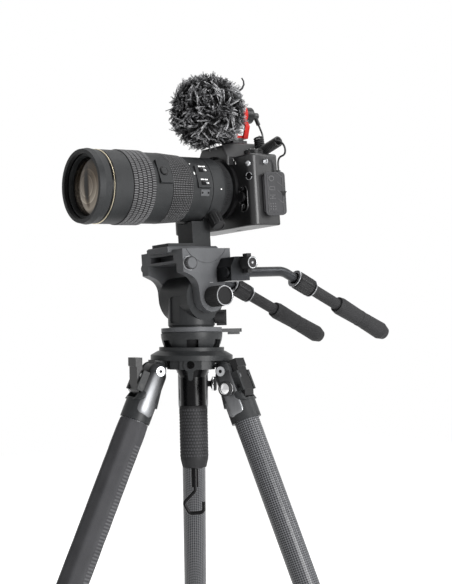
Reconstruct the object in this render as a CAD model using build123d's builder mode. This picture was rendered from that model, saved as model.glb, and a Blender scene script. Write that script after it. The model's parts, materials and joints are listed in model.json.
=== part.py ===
from build123d import *
from math import cos, pi, radians, sin, sqrt
import os

os.makedirs("parts", exist_ok=True)

# Fits
turning_gap = 0.05
body_gap = 0.4
hair_gap = body_gap / 4
seat_gap = 0.1
overcut = 1.0

# Hands, turns and limits used throughout
near = 1
far = -1
full_turn = 360.0
tiny = 1e-9
socket_sides = 6

# Stance of the tripod
leg_length = 640.0
leg_splay = 23.0
leg_bearing = -98.0
leg_count = 3
leg_step = full_turn / leg_count
pivot_radius = 52.0
pivot_height = leg_length * cos(radians(leg_splay))
ball_rise = 45.0
ball_height = pivot_height + ball_rise
column_lean = 2.2
tilt_rise = 42.0
nose_down = 2.7
lens_rise = 134.0
viewer_bearing = 52.0

# Shoulder casting
flange_radius = 39.6
flange_top = 28.0
flange_foot = 23.5
flange_step = 1.6
canopy_radius = 50.0
canopy_top = 18.5
canopy_foot = 12.5
skirt_radius = 45.0
skirt_inner = 39.0
skirt_foot = 2.0
ledge_hole = 24.0
ledge_radius = 44.3
lug_radius = 10.0
lug_half = 9.0
yoke_half = 18.0
yoke_slot_inner = 38.0
yoke_slot_reach = 40.0
port_bearing = leg_bearing + leg_step / 2
port_drop = 7.6
port_boss_radius = 8.5
port_reach = 46.8
port_hole_radius = 4.76
port_depth = 12.0
port_tail_drop = 16.0
port_tail_radius = 2.6
port_block_half = 13.0

# Leg pivots
bolt_radius = 4.0
bolt_head_radius = 5.8
bolt_head_height = 1.6
socket_radius = 2.4
socket_depth = 1.4

# Leg yoke
lobe_radius = 11.0
band_inner = 14.0
band_outer = 10.5
band_top = 24.0
sleeve_radius = 18.2
sleeve_top = 42.0
sleeve_end = 63.0
neck_top = 34.0
slot_end = 16.0
ear_inner = 11.0
ear_outer = 15.0
ear_base = 5.0
ear_reach = 18.5
ear_top = 6.0
ear_end = 30.0
yoke_round = 7.5

# Angle latch
latch_half = 10.4
latch_pin_radius = 2.6
latch_pin_s = 24.0
latch_pin_y = 14.0
latch_plate_in = 10.8
latch_plate_out = 18.0
latch_head_top = -9.0
latch_head_end = 1.0
latch_nose = 2.0
latch_head_in = 10.8
latch_head_out = 19.5
latch_end = 37.0
latch_end_thin = 15.0
latch_pulled = 24.0
latch_pocket = 4.0
latch_ease = 1.0
latch_tail = 8.0

# Leg tubes
tube_radius = 15.0
tube_inner = 13.2
tube_top = 45.0
tube_end = 566.0
collar_radius = 19.0
collar_waist = 17.4
collar_top = 548.0
collar_length = 56.0
collar_end = collar_top + collar_length
collar_lip = 3.0
collar_step = 20.0
collar_seat = collar_top + collar_step
lower_radius = 13.12
lower_inner = 11.4
lower_top = 150.0
lower_end = 622.0
foot_radius = 16.6
foot_height = 32.0
foot_socket = 14.3
foot_top = leg_length - foot_height
foot_seat = foot_top + foot_socket
foot_overrun = 20.0
floor_cut = 100.0
foam_radius = 18.6
foam_top = 64.0
foam_end = 330.0
foam_round = 2.0

# Levelling bowl and column
bowl_radius = 37.5
bowl_wall = 4.0
liner_gap = 0.3
liner_wall = 2.0
liner_high = 27.0
liner_low = 43.0
seat_radius = bowl_radius + 2 * liner_gap + liner_wall
post_radius = 12.0
window_count = 6
window_width = 14.0
window_top = 8.5
window_foot = 19.0
window_turn = 25.0
bolt_shank = 6.0
shank_top = 8.0
stem_radius = 9.0
cup_gap = 0.3
cup_rim = 30.0
cup_edge = 4.0
cup_waist = 20.5
cup_waist_drop = 43.0
column_radius = 15.75
column_top = 53.5
grip_top = 88.0
grip_chamfer = 2.0
grip_end = 162.0
grip_radius = 16.8
grip_taper = 14.4
grip_taper_drop = 152.0
grip_neck = 15.9
core_radius = 10.0
core_end = 163.0

# Weight hook
hook_stem_radius = 3.2
hook_stem_top = 150.0
hook_collar_radius = 4.6
hook_collar_top = 164.0
hook_collar_end = 186.0
hook_wire = 2.2
hook_left = -14.0
hook_left_drop = 205.0
hook_low = 218.0
hook_low_left = -7.0
hook_right = 10.0
hook_right_low = 217.0
hook_tip_drop = 204.0
hook_bend = 5.0
hook_overlap = 4.0

# Friction knob of each leg
knob_s = 22.5
knob_y_out = 2.5
knob_bore_depth = 7.0
leg_knob_shank = 2.6
leg_knob_body = 7.4
leg_knob_cap = 9.0
leg_knob_face = 18.4
leg_knob_waist = 24.0
leg_knob_step = 2.0
leg_knob_end = 30.0
leg_knob_dome = 1.6

# Pan base and its lever
pan_disc_radius = 37.0
pan_disc_foot = 0.3
pan_disc_top = 6.2
pan_disc_edge = 1.0
spigot_radius = 12.0
spigot_top = 20.0
pan_lever_bearing = 66.0
pan_lever_pin = 31.0
pan_lever_pin_radius = 2.5
pan_lever_root = 6.0
pan_lever_reach = 63.0
pan_lever_root_half = 5.5
pan_lever_tip_half = 3.4
pan_lever_foot = 0.5
pan_lever_top = 4.8
lever_keel = 2.8
lever_keel_start = 46.0
pan_pocket_half = 15.0

# Head trunk
trunk_radius = 28.5
trunk_foot = 6.7
trunk_neck = 27.0
trunk_groove = 1.2
trunk_groove_foot = 8.0
drum_radius = 27.5
drum_half = 28.8
panel_side = 5.0
panel_width = 21.0
panel_depth = 2.4
panel_round = 4.0
panel_foot = 12.0
panel_top = 44.0
axle_radius = 9.0
axle_half = 40.0

# Tilting cradle
cradle_half = 43.0
cheek_inner = 29.4
platform_front = -40.0
platform_rear = 31.0
platform_top = 58.0
platform_foot = 42.0
cheek_waist_rear = 21.0
cheek_waist_rear_up = 16.0
cheek_lobe = 18.0
cheek_front_low = 31.0
cheek_front_in = -31.0
cheek_front_in_up = 27.0
cheek_bow = 2.0
cheek_bow_drop = 6.0
cheek_waist_front = -18.5
cheek_waist_front_up = 8.0
front_window_half = 24.0
front_window_foot = 45.0
front_window_top = 52.0
front_window_depth = 16.0
guide_half = 22.6
guide_depth = 3.0
cheek_groove = 0.8
cheek_arc_radius = 34.0
cheek_arc_up = 74.0
cheek_arc_back = 5.0
cheek_arc_width = 0.9

# Knobs of the head
drag_knob_radius = 12.0
drag_knob_start = 43.5
drag_knob_end = 68.0
drag_tab = 3.0
drag_tab_reach = 14.0
drag_tab_end = 66.0
drag_tab_length = 10.0
drag_rim = 2.0
drag_dish = 1.2
pan_knob_bearing = 45.0
pan_knob_rise = 18.0
pan_knob_radius = 7.0
pan_knob_start = 29.2
pan_knob_end = 41.0
pan_knob_shank = 3.0
pan_knob_root = 18.0
pan_wing_half = 2.0
pan_wing_reach = 9.5
plate_knob_radius = 7.4
plate_knob_y = -31.5
plate_knob_z = 40.5
plate_knob_start = 43.4
plate_knob_end = 49.5
plate_shaft_radius = 3.0
plate_boss_radius = 6.2
plate_boss_end = 49.0
plate_shaft_seat = 7.0

# Camera plate
plate_half = 22.0
plate_front = -46.0
plate_rear = 29.0
plate_top = 62.5

# Handles
handle_x = 62.0
handle_z = 27.0
clamp_start = 43.4
clamp_end = 70.5
clamp_y = 24.0
clamp_z = 34.0
clamp_radius = 15.0
clamp_tail = 10.0
clamp_waist = 3.5
clamp_inset = 2.0
rosette_pin = 3.5
rosette_root = 31.0
arm_radius = 6.0
arm_front = 6.0
arm_bend = 97.0
arm_drop = 26.6
arm_bend_radius = 30.0
arm_end = 128.0
knob_y = 30.0
knob_z = 37.0
knob_shank = 3.0
knob_start = 71.0
knob_end = 86.0
knob_radius = 7.5
knob_wing_half = 3.2
knob_wing_reach = 11.5
knob_wing_end = 80.0
twist_radius = 11.0
twist_start = 22.0
twist_end = 50.0
twist_lip = 2.0
grip_tube_radius = 7.4
grip_tube_start = 30.0
grip_start = 98.0
handle_end = 190.0
hand_grip_radius = 11.4
hand_grip_waist = 10.2
hand_grip_round = 3.0
grip_bore_end = 132.0

# Lens collar and its foot
ring_front = 15.0
ring_rear = 32.0
ring_radius = 39.6
ring_inner = 35.6
foot_half = 15.0
foot_front = -3.0
foot_toe = -41.0
foot_toe_half = 17.0
foot_toe_height = 4.0
foot_rear = 24.0
foot_clear = 43.2
collar_knob_bearing = -55.0
collar_knob_root = 36.6
collar_knob_base = 42.0
collar_knob_end = 60.0
collar_knob_radius = 8.2
collar_knob_shank = 3.0
collar_knob_y = 23.5
collar_boss_radius = 7.0
knob_rim = 1.5
knob_dish = 1.0

# Lens barrel
rim_front = -147.0
rim_peak = -140.0
rim_rear = -131.0
rim_radius = 44.0
rim_edge = 42.6
rim_neck = 41.6
barrel_front = -127.0
barrel_radius = 43.2
barrel_edge = 1.0
focus_front = -102.5
focus_rear = -71.0
focus_radius = 43.4
ring_wall = 2.6
button_radius = 42.4
zoom_front = -47.0
zoom_rear = -15.0
zoom_front_radius = 42.2
zoom_rear_radius = 40.2
switch_rear = 14.2
switch_radius = 39.6
journal_radius = 35.5
tail_front = 32.4
tail_radius = 38.6
tail_taper = 35.0
mount_rear = 50.0
mount_radius = 33.0
mount_depth = 8.0
filter_radius = 38.5
filter_depth = 5.5
baffle_radius = 34.5
baffle_depth = 16.0
glass_radius = 34.4
glass_bulge = 3.0
glass_ball = 170.0
glass_edge = 4.0
glass_seat = 10.5
button_panel_half = 15.0
button_panel_turn = -20.0
button_panel_lift = 1.4
button_panel_front = -66.0
lens_button_radius = 5.0
lens_button_y = -58.0
switch_panel_turn = -15.0
switch_panel_half = 14.0
switch_panel_lift = 0.9
switch_panel_front = -9.0
switch_panel_rear = 9.0

# Camera body
body_left = 64.0
body_right = -74.0
body_front = 55.0
body_rear = 98.0
base_drop = 50.0
shoulder_rise = 38.0
column_round = 9.0
rear_round = 3.5
grip_round = 8.0
shell_round = 3.0
base_round = 2.0
prism_half = 31.0
prism_top_half = 17.0
prism_rise = 59.0
prism_front = 45.0
nose_rise = 53.0
roof_start = 71.0
prism_skirt = 20.0
prism_round = 7.0
prism_edge = 2.4
throat_clear = 41.5
prism_rear = 104.0
mount_ring_front = 50.3
throat_half = 38.0
handgrip_in = -42.0
handgrip_front = 33.0
handgrip_slant = 6.0
throat_root = 10.0
eyepiece_wall = 4.0
eyepiece_dish = 5.0
eyepiece_half = 17.0
eyepiece_low = 33.0
eyepiece_high = 54.0
eyepiece_rear = 112.0
shoe_half = 9.4
shoe_rail_half = 11.0
shoe_front = 72.0
shoe_rear = 94.0
shoe_slot_height = 2.4
shoe_lip = 1.2
shoe_lip_half = 6.4
socket_y = 82.0
tripod_socket_radius = 3.175
tripod_socket_depth = 6.0

# Camera controls
dial_x = 46.0
dial_y = 75.0
dial_radius = 11.5
dial_height = 6.5
dial_pin = 3.0
dial_pin_depth = 6.0
dial_edge = 0.8
shutter_x = -58.0
shutter_y = 40.0
shutter_radius = 5.0
shutter_height = 2.4
shutter_pin = 2.0
shutter_travel = 1.2
release_x = 46.5
release_z = -14.0
release_radius = 6.0
release_height = 3.6
release_pin = 3.0
release_travel = 2.0
release_depth = 6.0
screen_half = 36.0
screen_x = 4.0
screen_low = -40.0
screen_high = 16.0
screen_thick = 2.4
screen_sink = 0.8

# Port cover
cover_hinge_y = 72.0
cover_low = -39.0
cover_high = 14.0
cover_width = 26.0
cover_thick = 3.0
cover_open = 24.0
cover_knuckle = 1.6
cover_round = 5.0

# Microphone
mic_rise = 98.0
mic_radius = 10.5
mic_front = 8.0
mic_rear = 112.0
mic_edge = 1.0
fur_centre = 43.0
fur_radius = 47.0
fur_bore_gap = 0.1
fur_flat_front = 42.5
fur_flat = 63.4
lyre_y = 94.5
lyre_half = 3.5
lyre_wall = 2.6
lyre_root = 7.2
lyre_root_drop = 10.6
lyre_spread = 15.0
lyre_knee = 17.0
lyre_foot = 66.0
lyre_bar_height = 4.0
lyre_bar_half = 7.0
lyre_bar_front = 72.0
foot_plate_half = 9.2
foot_plate_height = 2.0
foot_neck_half = 6.0
foot_wheel_radius = 12.0
foot_y = 83.0
cover_lift = 0.4

# Cable
cable_radius = 0.9
curl_radius = 4.4
curl_pitch = 3.0
curl_bend = 18.0
curl_steps = 4
turn_samples = 48
fine_step = 1e-4
curl_y = 94.0
curl_top_x = 36.0
curl_top_z = 66.0
curl_low_x = 38.0
curl_low_z = 39.5
curl_out_x = 71.0
curl_out_z = 53.0
plug_radius = 4.4
plug_reach = 11.0
plug_drop = 13.0
boot_side = 0.35
boot_back = 0.15
port_plug_radius = 3.8
port_plug_reach = 8.0
port_plug_exit = 4.6
jack_back = 22.36
jack_rise = 4.0
boot_radius = 2.6
jack_radius = 1.75
jack_depth = 12.0

# Frames that the pieces are placed on
pivot_level = Plane.XY.offset(pivot_height)
ball_level = Plane.XY.offset(ball_height)
lean = radians(column_lean)
column = Plane(
    origin=(0, 0, ball_height),
    x_dir=(cos(lean), 0, sin(lean)),
    z_dir=(-sin(lean), 0, cos(lean)),
)
nose = radians(nose_down)
deck = Plane(
    origin=column.from_local_coords(Vector(0, 0, tilt_rise)),
    x_dir=column.x_dir,
    z_dir=column.z_dir * cos(nose) - column.y_dir * sin(nose),
)


def at(base, x, y, z):
    """A point given in a frame's own coordinates."""
    return base.from_local_coords(Vector(x, y, z))


def level(base, x, y, z):
    """The frame moved along its own axes."""
    return Plane(origin=at(base, x, y, z), x_dir=base.x_dir, z_dir=base.z_dir)


def side(base, x, y=0.0, z=0.0):
    """A plane that faces along the frame's x; its sketches are drawn in y and z."""
    return Plane(origin=at(base, x, y, z), x_dir=base.y_dir, z_dir=base.x_dir)


def front(base, x, y, z=0.0):
    """A plane that faces forward; its sketches are drawn in x and z."""
    return Plane(origin=at(base, x, y, z), x_dir=base.x_dir, z_dir=-base.y_dir)


def turned_frame(base, bearing):
    """The frame turned about its own z."""
    turn = radians(bearing)
    aim = base.x_dir * cos(turn) + base.y_dir * sin(turn)
    return Plane(origin=base.origin, x_dir=aim, z_dir=base.z_dir)


def rod(base, radius, length, mode=Mode.ADD):
    """A round bar from a plane along its normal."""
    with BuildSketch(base) as disc:
        Circle(radius)
    extrude(disc.sketch, amount=length, mode=mode)


def turned(base, *points, mode=Mode.ADD):
    """A lathe-turned form: radius and height points about the frame's z."""
    with BuildSketch(front(base, 0, 0)) as half:
        with BuildLine():
            Polyline(*points, close=True)
        make_face()
    revolve(half.sketch, axis=Axis(base.origin, base.z_dir), mode=mode)


def slab(base, *points, depth, mode=Mode.ADD):
    """A plate with straight edges, drawn on a plane and pushed along its normal."""
    with BuildSketch(base) as outline:
        with BuildLine():
            Polyline(*points, close=True)
        make_face()
    extrude(outline.sketch, amount=depth, mode=mode)


def brick(base, x0, x1, y0, y1, z0, z1, mode=Mode.ADD):
    """A block between two corners of a frame."""
    slab(base.offset(z0), (x0, y0), (x1, y0), (x1, y1), (x0, y1), depth=z1 - z0, mode=mode)


def save(shape, name):
    shape.label = name
    export_step(shape, f"parts/{name}.step")


def leg_frame(bearing):
    """Origin on the leg's pivot, x along the bolt, y outward, z down the leg."""
    turn = radians(bearing)
    splay = radians(leg_splay)
    out = Vector(cos(turn), sin(turn), 0)
    return Plane(
        origin=out * pivot_radius + Vector(0, 0, pivot_height),
        x_dir=(-sin(turn), cos(turn), 0),
        z_dir=out * sin(splay) - Vector(0, 0, cos(splay)),
    )


leg_names = ("left", "right", "rear")
leg_bearings = [leg_bearing + leg_step * n for n in range(leg_count)]

slot_half = yoke_half + bolt_head_height + 2 * body_gap

# Shoulder: a turned ring with a spherical seat, three lugs and an accessory port
seat_rim = sqrt(seat_radius**2 - (ball_rise - flange_top) ** 2)
seat_hole = sqrt(seat_radius**2 - ledge_hole**2)
ledge_edge = ledge_hole * ledge_radius / seat_radius
with BuildPart() as shoulder_casting:
    with BuildSketch(front(ball_level, 0, 0)) as half:
        with BuildLine():
            under = sqrt(ledge_radius**2 - ledge_edge**2)
            under_out = sqrt(ledge_radius**2 - skirt_inner**2)
            seat_start = (seat_rim, flange_top - ball_rise)
            seat_end = (ledge_hole, -seat_hole)
            RadiusArc(seat_start, seat_end, seat_radius)
            Line(seat_end, (ledge_edge, -under))
            RadiusArc((ledge_edge, -under), (skirt_inner, -under_out), -ledge_radius)
            Polyline(
                (skirt_inner, -under_out),
                (skirt_inner, skirt_foot - ball_rise),
                (skirt_radius, skirt_foot - ball_rise),
                (skirt_radius, canopy_foot - ball_rise),
                (canopy_radius, canopy_foot - ball_rise),
                (canopy_radius, canopy_top - ball_rise),
                (flange_radius + flange_step, flange_foot - ball_rise),
                (flange_radius, flange_foot - ball_rise),
                (flange_radius, flange_top - ball_rise),
                seat_start,
            )
        make_face()
    revolve(axis=Axis.Z)
    for bearing in leg_bearings:
        spoke = turned_frame(pivot_level, bearing)
        brick(
            spoke,
            yoke_slot_inner,
            yoke_slot_inner + yoke_slot_reach,
            -slot_half,
            slot_half,
            -lug_radius * 2,
            canopy_foot,
            mode=Mode.SUBTRACT,
        )
        with BuildSketch(front(spoke, 0, lug_half)) as lug:
            with Locations((pivot_radius, 0)):
                Circle(lug_radius)
            with Locations(((pivot_radius + skirt_inner) / 2 + flange_step, canopy_foot / 2)):
                Rectangle(pivot_radius - skirt_inner + flange_step, canopy_foot + overcut)
        extrude(lug.sketch, amount=2 * lug_half)
        rod(front(spoke, pivot_radius, lug_half * 2), bolt_radius, lug_half * 4, mode=Mode.SUBTRACT)
    port_frame = turned_frame(pivot_level, port_bearing)
    brick(
        port_frame,
        skirt_inner + flange_step,
        port_reach - flange_step,
        -port_block_half,
        port_block_half,
        skirt_foot,
        canopy_foot,
    )
    port_face = side(port_frame, skirt_inner + flange_step, 0, port_drop)
    rod(port_face, port_boss_radius, port_reach - skirt_inner - flange_step)
    with BuildSketch(port_face) as tail:
        with BuildLine():
            Polyline(
                (-port_boss_radius / 2, 0),
                (-port_tail_radius, -port_tail_drop),
                (port_tail_radius, -port_tail_drop),
                (port_boss_radius / 2, 0),
                close=True,
            )
        make_face()
        with Locations((0, -port_tail_drop)):
            Circle(port_tail_radius)
    extrude(tail.sketch, amount=port_reach - skirt_inner - 2 * flange_step)
    rod(
        side(port_frame, port_reach, 0, port_drop),
        port_hole_radius,
        -port_depth,
        mode=Mode.SUBTRACT,
    )
save(shoulder_casting.part, "shoulder_casting")

# Leg pivot bolts, one through each lug
with BuildPart() as leg_pivot_bolts:
    for bearing in leg_bearings:
        spoke = turned_frame(pivot_level, bearing)
        head_face = yoke_half + body_gap
        rod(front(spoke, pivot_radius, head_face), bolt_radius, 2 * head_face)
        rod(
            front(spoke, pivot_radius, head_face + bolt_head_height),
            bolt_head_radius,
            bolt_head_height,
        )
        rod(front(spoke, pivot_radius, -head_face), bolt_head_radius, bolt_head_height)
        for end, sink in ((head_face + bolt_head_height, near), (-head_face - bolt_head_height, far)):
            with BuildSketch(front(spoke, pivot_radius, end)) as socket:
                RegularPolygon(socket_radius, socket_sides)
            extrude(socket.sketch, amount=sink * socket_depth, mode=Mode.SUBTRACT)
save(leg_pivot_bolts.part, "leg_pivot_bolts")

# Legs
for name, bearing in zip(leg_names, leg_bearings):
    leg = leg_frame(bearing)
    with BuildPart() as yoke:
        with BuildSketch(side(leg, -yoke_half)) as profile:
            Circle(lobe_radius)
            with BuildLine():
                Polyline(
                    (-lobe_radius, 0),
                    (lobe_radius, 0),
                    (band_outer, band_top),
                    (sleeve_radius - flange_step, sleeve_top),
                    (-sleeve_radius + flange_step, sleeve_top),
                    (-band_inner, band_top),
                    close=True,
                )
            make_face()
        extrude(profile.sketch, amount=2 * yoke_half)
        flanks = yoke.edges().filter_by(
            lambda e: abs(abs((e.center() - leg.origin).dot(leg.x_dir)) - yoke_half) < turning_gap
        )
        fillet(flanks, yoke_round)
        for hand in (far, near):
            brick(leg, hand * ear_inner, hand * ear_outer, ear_base, ear_reach, ear_top, ear_end)
        rod(leg.offset(neck_top), sleeve_radius, sleeve_end - neck_top)
        brick(
            leg,
            -lug_half - body_gap,
            lug_half + body_gap,
            -2 * lobe_radius,
            2 * lobe_radius,
            -2 * lobe_radius,
            slot_end,
            mode=Mode.SUBTRACT,
        )
        rod(
            leg.offset(sleeve_top - 2 * overcut),
            tube_radius + turning_gap / 2,
            sleeve_end,
            mode=Mode.SUBTRACT,
        )
        rod(side(leg, -yoke_half * 2), bolt_radius + turning_gap, yoke_half * 4, mode=Mode.SUBTRACT)
        rod(
            side(leg, -yoke_half * 2, latch_pin_y, latch_pin_s),
            latch_pin_radius + turning_gap,
            yoke_half * 4,
            mode=Mode.SUBTRACT,
        )
        brick(
            leg,
            -ear_inner,
            ear_inner,
            latch_pocket,
            ear_reach + sleeve_radius,
            latch_head_top - 2 * lobe_radius,
            latch_end + 2 * overcut,
            mode=Mode.SUBTRACT,
        )
        rod(
            side(leg, -yoke_half + knob_bore_depth, knob_y_out, knob_s),
            leg_knob_shank + turning_gap,
            -yoke_half,
            mode=Mode.SUBTRACT,
        )
    save(yoke.part, f"{name}_leg_yoke")

    with BuildPart() as leg_knob:
        turned(
            Plane(origin=at(leg, 0, knob_y_out, knob_s), x_dir=leg.y_dir, z_dir=-leg.x_dir),
            (0, yoke_half - knob_bore_depth + body_gap),
            (leg_knob_shank, yoke_half - knob_bore_depth + body_gap),
            (leg_knob_shank, leg_knob_face),
            (leg_knob_body / 2, leg_knob_face),
            (leg_knob_body / 2, leg_knob_waist - leg_knob_step),
            (leg_knob_body, leg_knob_waist),
            (leg_knob_cap, leg_knob_waist),
            (leg_knob_cap, leg_knob_end - leg_knob_dome),
            (leg_knob_cap - leg_knob_dome, leg_knob_end),
            (0, leg_knob_end),
        )
    save(leg_knob.part, f"{name}_leg_knob")

    pulled = radians(latch_pulled if name == "left" else 0.0)
    pin = at(leg, 0, latch_pin_y, latch_pin_s)
    latch_frame = Plane(
        origin=pin,
        x_dir=leg.x_dir,
        z_dir=leg.z_dir * cos(pulled) - leg.y_dir * sin(pulled),
    )
    with BuildPart() as latch:
        slab(
            side(latch_frame, -latch_half, -latch_pin_y, -latch_pin_s),
            (latch_head_in, latch_head_top),
            (latch_head_out, latch_head_top),
            (latch_head_out, latch_head_end),
            (latch_plate_out, latch_head_end + latch_ease),
            (latch_plate_out, latch_end - latch_tail),
            (latch_end_thin, latch_end),
            (latch_plate_in, latch_end - latch_tail / 2),
            (latch_plate_in, latch_head_end),
            (latch_head_in, latch_head_end - latch_nose),
            depth=2 * latch_half,
        )
        rod(side(latch_frame, -ear_outer), latch_pin_radius, 2 * ear_outer)
    save(latch.part, f"{name}_leg_latch")

    with BuildPart() as upper:
        rod(leg.offset(tube_top), tube_radius, tube_end - tube_top)
        rod(leg.offset(tube_top), tube_inner, tube_end - tube_top, mode=Mode.SUBTRACT)
    save(upper.part, f"{name}_leg_tube")

    with BuildPart() as collar:
        turned(
            leg,
            (tube_radius + turning_gap, collar_top),
            (collar_radius - collar_lip / 2, collar_top),
            (collar_radius, collar_top + collar_lip),
            (collar_radius, collar_end - 4 * collar_lip),
            (collar_waist, collar_end - collar_lip),
            (collar_waist, collar_end),
            (lower_radius + turning_gap, collar_end),
            (lower_radius + turning_gap, collar_seat),
            (tube_radius + turning_gap, collar_seat),
        )
    save(collar.part, f"{name}_leg_collar")

    with BuildPart() as lower:
        rod(leg.offset(lower_top), lower_radius, lower_end - lower_top)
        rod(leg.offset(lower_top), lower_inner, lower_end - lower_top, mode=Mode.SUBTRACT)
        turned(
            leg,
            (lower_radius + turning_gap, foot_top),
            (foot_radius - flange_step, foot_top),
            (foot_radius, foot_top + flange_step),
            (foot_radius, leg_length + foot_overrun),
            (0, leg_length + foot_overrun),
            (0, foot_seat),
            (lower_radius + turning_gap, foot_seat),
        )
        with BuildSketch(Plane.XY):
            with Locations(at(leg, 0, 0, leg_length)):
                Rectangle(floor_cut, floor_cut)
        extrude(amount=-floor_cut, mode=Mode.SUBTRACT)
    save(lower.part, f"{name}_leg_lower")

left_leg = leg_frame(leg_bearings[0])
with BuildPart() as foam:
    turned(
        left_leg,
        (tube_radius + turning_gap, foam_top),
        (foam_radius - foam_round, foam_top),
        (foam_radius, foam_top + foam_round),
        (foam_radius, foam_end - foam_round),
        (foam_radius - foam_round, foam_end),
        (tube_radius + turning_gap, foam_end),
    )
save(foam.part, "left_leg_foam")

# Levelling liner, bowl and column
with BuildPart() as levelling_liner:
    with BuildSketch(front(ball_level, 0, 0)):
        with BuildLine():
            inner = bowl_radius + liner_gap
            outer = inner + liner_wall
            CenterArc((0, 0), inner, -liner_low, liner_low - liner_high)
            CenterArc((0, 0), outer, -liner_low, liner_low - liner_high)
            for angle in (radians(-liner_low), radians(-liner_high)):
                Line(
                    (inner * cos(angle), inner * sin(angle)),
                    (outer * cos(angle), outer * sin(angle)),
                )
        make_face()
    revolve(axis=Axis.Z)
save(levelling_liner.part, "levelling_liner")

with BuildPart() as levelling_bowl:
    with BuildSketch(front(column, 0, 0)) as half:
        with BuildLine():
            cavity = bowl_radius - bowl_wall
            low = -sqrt(bowl_radius**2 - post_radius**2)
            floor_z = -sqrt(cavity**2 - post_radius**2)
            RadiusArc((bowl_radius, 0), (post_radius, low), bowl_radius)
            hole = bolt_shank + turning_gap / 2
            Polyline(
                (post_radius, low),
                (hole, low),
                (hole, 0),
                (post_radius, 0),
                (post_radius, floor_z),
            )
            RadiusArc((post_radius, floor_z), (cavity, 0), -cavity)
            Line((cavity, 0), (bowl_radius, 0))
        make_face()
    revolve(half.sketch, axis=Axis(column.origin, column.z_dir))
    for n in range(window_count):
        frame = turned_frame(column, window_turn + full_turn / window_count * n)
        brick(
            frame,
            post_radius * 2,
            bowl_radius + lug_half,
            -window_width / 2,
            window_width / 2,
            -window_foot,
            -window_top,
            mode=Mode.SUBTRACT,
        )
save(levelling_bowl.part, "levelling_bowl")

cup_top = ledge_radius + cup_gap
with BuildPart() as levelling_column:
    with BuildSketch(front(column, 0, 0)) as half:
        with BuildLine():
            rim_z = -sqrt(cup_top**2 - cup_rim**2)
            root_z = -sqrt(cup_top**2 - stem_radius**2)
            Polyline(
                (0, -shank_top),
                (bolt_shank, -shank_top),
                (bolt_shank, low - body_gap),
                (stem_radius, low - body_gap),
            )
            Line((stem_radius, low - body_gap), (stem_radius, root_z))
            RadiusArc((stem_radius, root_z), (cup_rim, rim_z), -cup_top)
            Polyline(
                (cup_rim, rim_z),
                (cup_rim, rim_z - cup_edge),
                (cup_waist, -cup_waist_drop),
                (column_radius, -column_top),
                (column_radius, -grip_top + body_gap),
                (core_radius, -grip_top + body_gap),
                (core_radius, -core_end),
                (hook_stem_radius + turning_gap, -core_end),
                (hook_stem_radius + turning_gap, -hook_stem_top + body_gap),
                (0, -hook_stem_top + body_gap),
                (0, -shank_top),
            )
        make_face()
    revolve(half.sketch, axis=Axis(column.origin, column.z_dir))
save(levelling_column.part, "levelling_column")

with BuildPart() as column_grip:
    turned(
        column,
        (core_radius + turning_gap, -grip_top),
        (grip_neck, -grip_top),
        (grip_radius, -grip_top - grip_chamfer),
        (grip_radius, -grip_taper_drop),
        (grip_taper, -grip_end),
        (core_radius + turning_gap, -grip_end),
    )
save(column_grip.part, "column_grip")

hook_frame = turned_frame(column, viewer_bearing)
with BuildPart() as weight_hook:
    rod(
        hook_frame.offset(-hook_stem_top),
        hook_stem_radius,
        -(hook_collar_top - hook_stem_top + hook_overlap),
    )
    rod(
        hook_frame.offset(-hook_collar_top),
        hook_collar_radius,
        -(hook_collar_end - hook_collar_top),
    )
    with BuildLine(front(hook_frame, 0, 0)) as wire:
        FilletPolyline(
            (0, -hook_collar_end + hook_overlap),
            (0, -hook_collar_end - hook_bend),
            (hook_left, -hook_left_drop),
            (hook_low_left, -hook_low),
            (hook_right, -hook_right_low),
            (hook_right, -hook_tip_drop),
            radius=hook_bend,
        )
    with BuildSketch(Plane(origin=wire.wire() @ 0, z_dir=wire.wire() % 0)):
        Circle(hook_wire)
    sweep(path=wire.wire())
save(weight_hook.part, "weight_hook")

# Pan base and its lever
lever_frame = turned_frame(column, pan_lever_bearing)
with BuildPart() as pan_base:
    turned(
        column,
        (0, pan_disc_foot),
        (pan_disc_radius - pan_disc_edge, pan_disc_foot),
        (pan_disc_radius, pan_disc_foot + pan_disc_edge),
        (pan_disc_radius, pan_disc_top),
        (spigot_radius, pan_disc_top),
        (spigot_radius, spigot_top),
        (0, spigot_top),
    )
    brick(
        lever_frame,
        pan_lever_pin - pan_lever_root - body_gap - overcut,
        pan_disc_radius + lug_half,
        -pan_pocket_half,
        pan_pocket_half,
        pan_disc_foot - overcut,
        pan_lever_top + body_gap,
        mode=Mode.SUBTRACT,
    )
    rod(
        level(lever_frame, pan_lever_pin, 0, pan_lever_foot + overcut),
        pan_lever_pin_radius,
        pan_disc_top - pan_lever_foot - overcut,
    )
save(pan_base.part, "pan_base")

with BuildPart() as pan_lever:
    with BuildSketch(lever_frame.offset(pan_lever_foot)) as blade:
        with Locations((pan_lever_pin, 0)):
            Circle(pan_lever_root)
        with BuildLine():
            Polyline(
                (pan_lever_pin, -pan_lever_root_half),
                (pan_lever_reach - pan_lever_tip_half, -pan_lever_tip_half),
                (pan_lever_reach - pan_lever_tip_half, pan_lever_tip_half),
                (pan_lever_pin, pan_lever_root_half),
                close=True,
            )
        make_face()
        with Locations((pan_lever_reach - pan_lever_tip_half, 0)):
            Circle(pan_lever_tip_half)
    extrude(blade.sketch, amount=pan_lever_top - pan_lever_foot)
    slab(
        lever_frame.offset(pan_lever_foot),
        (lever_keel_start, -pan_lever_tip_half),
        (pan_lever_reach - pan_lever_tip_half, -pan_lever_tip_half),
        (pan_lever_reach - pan_lever_tip_half, pan_lever_tip_half),
        (lever_keel_start, pan_lever_tip_half),
        depth=-lever_keel,
    )
    rod(
        level(lever_frame, pan_lever_pin, 0, pan_lever_foot - overcut),
        pan_lever_pin_radius + turning_gap,
        pan_lever_top - pan_lever_foot + 2 * overcut,
        mode=Mode.SUBTRACT,
    )
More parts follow.
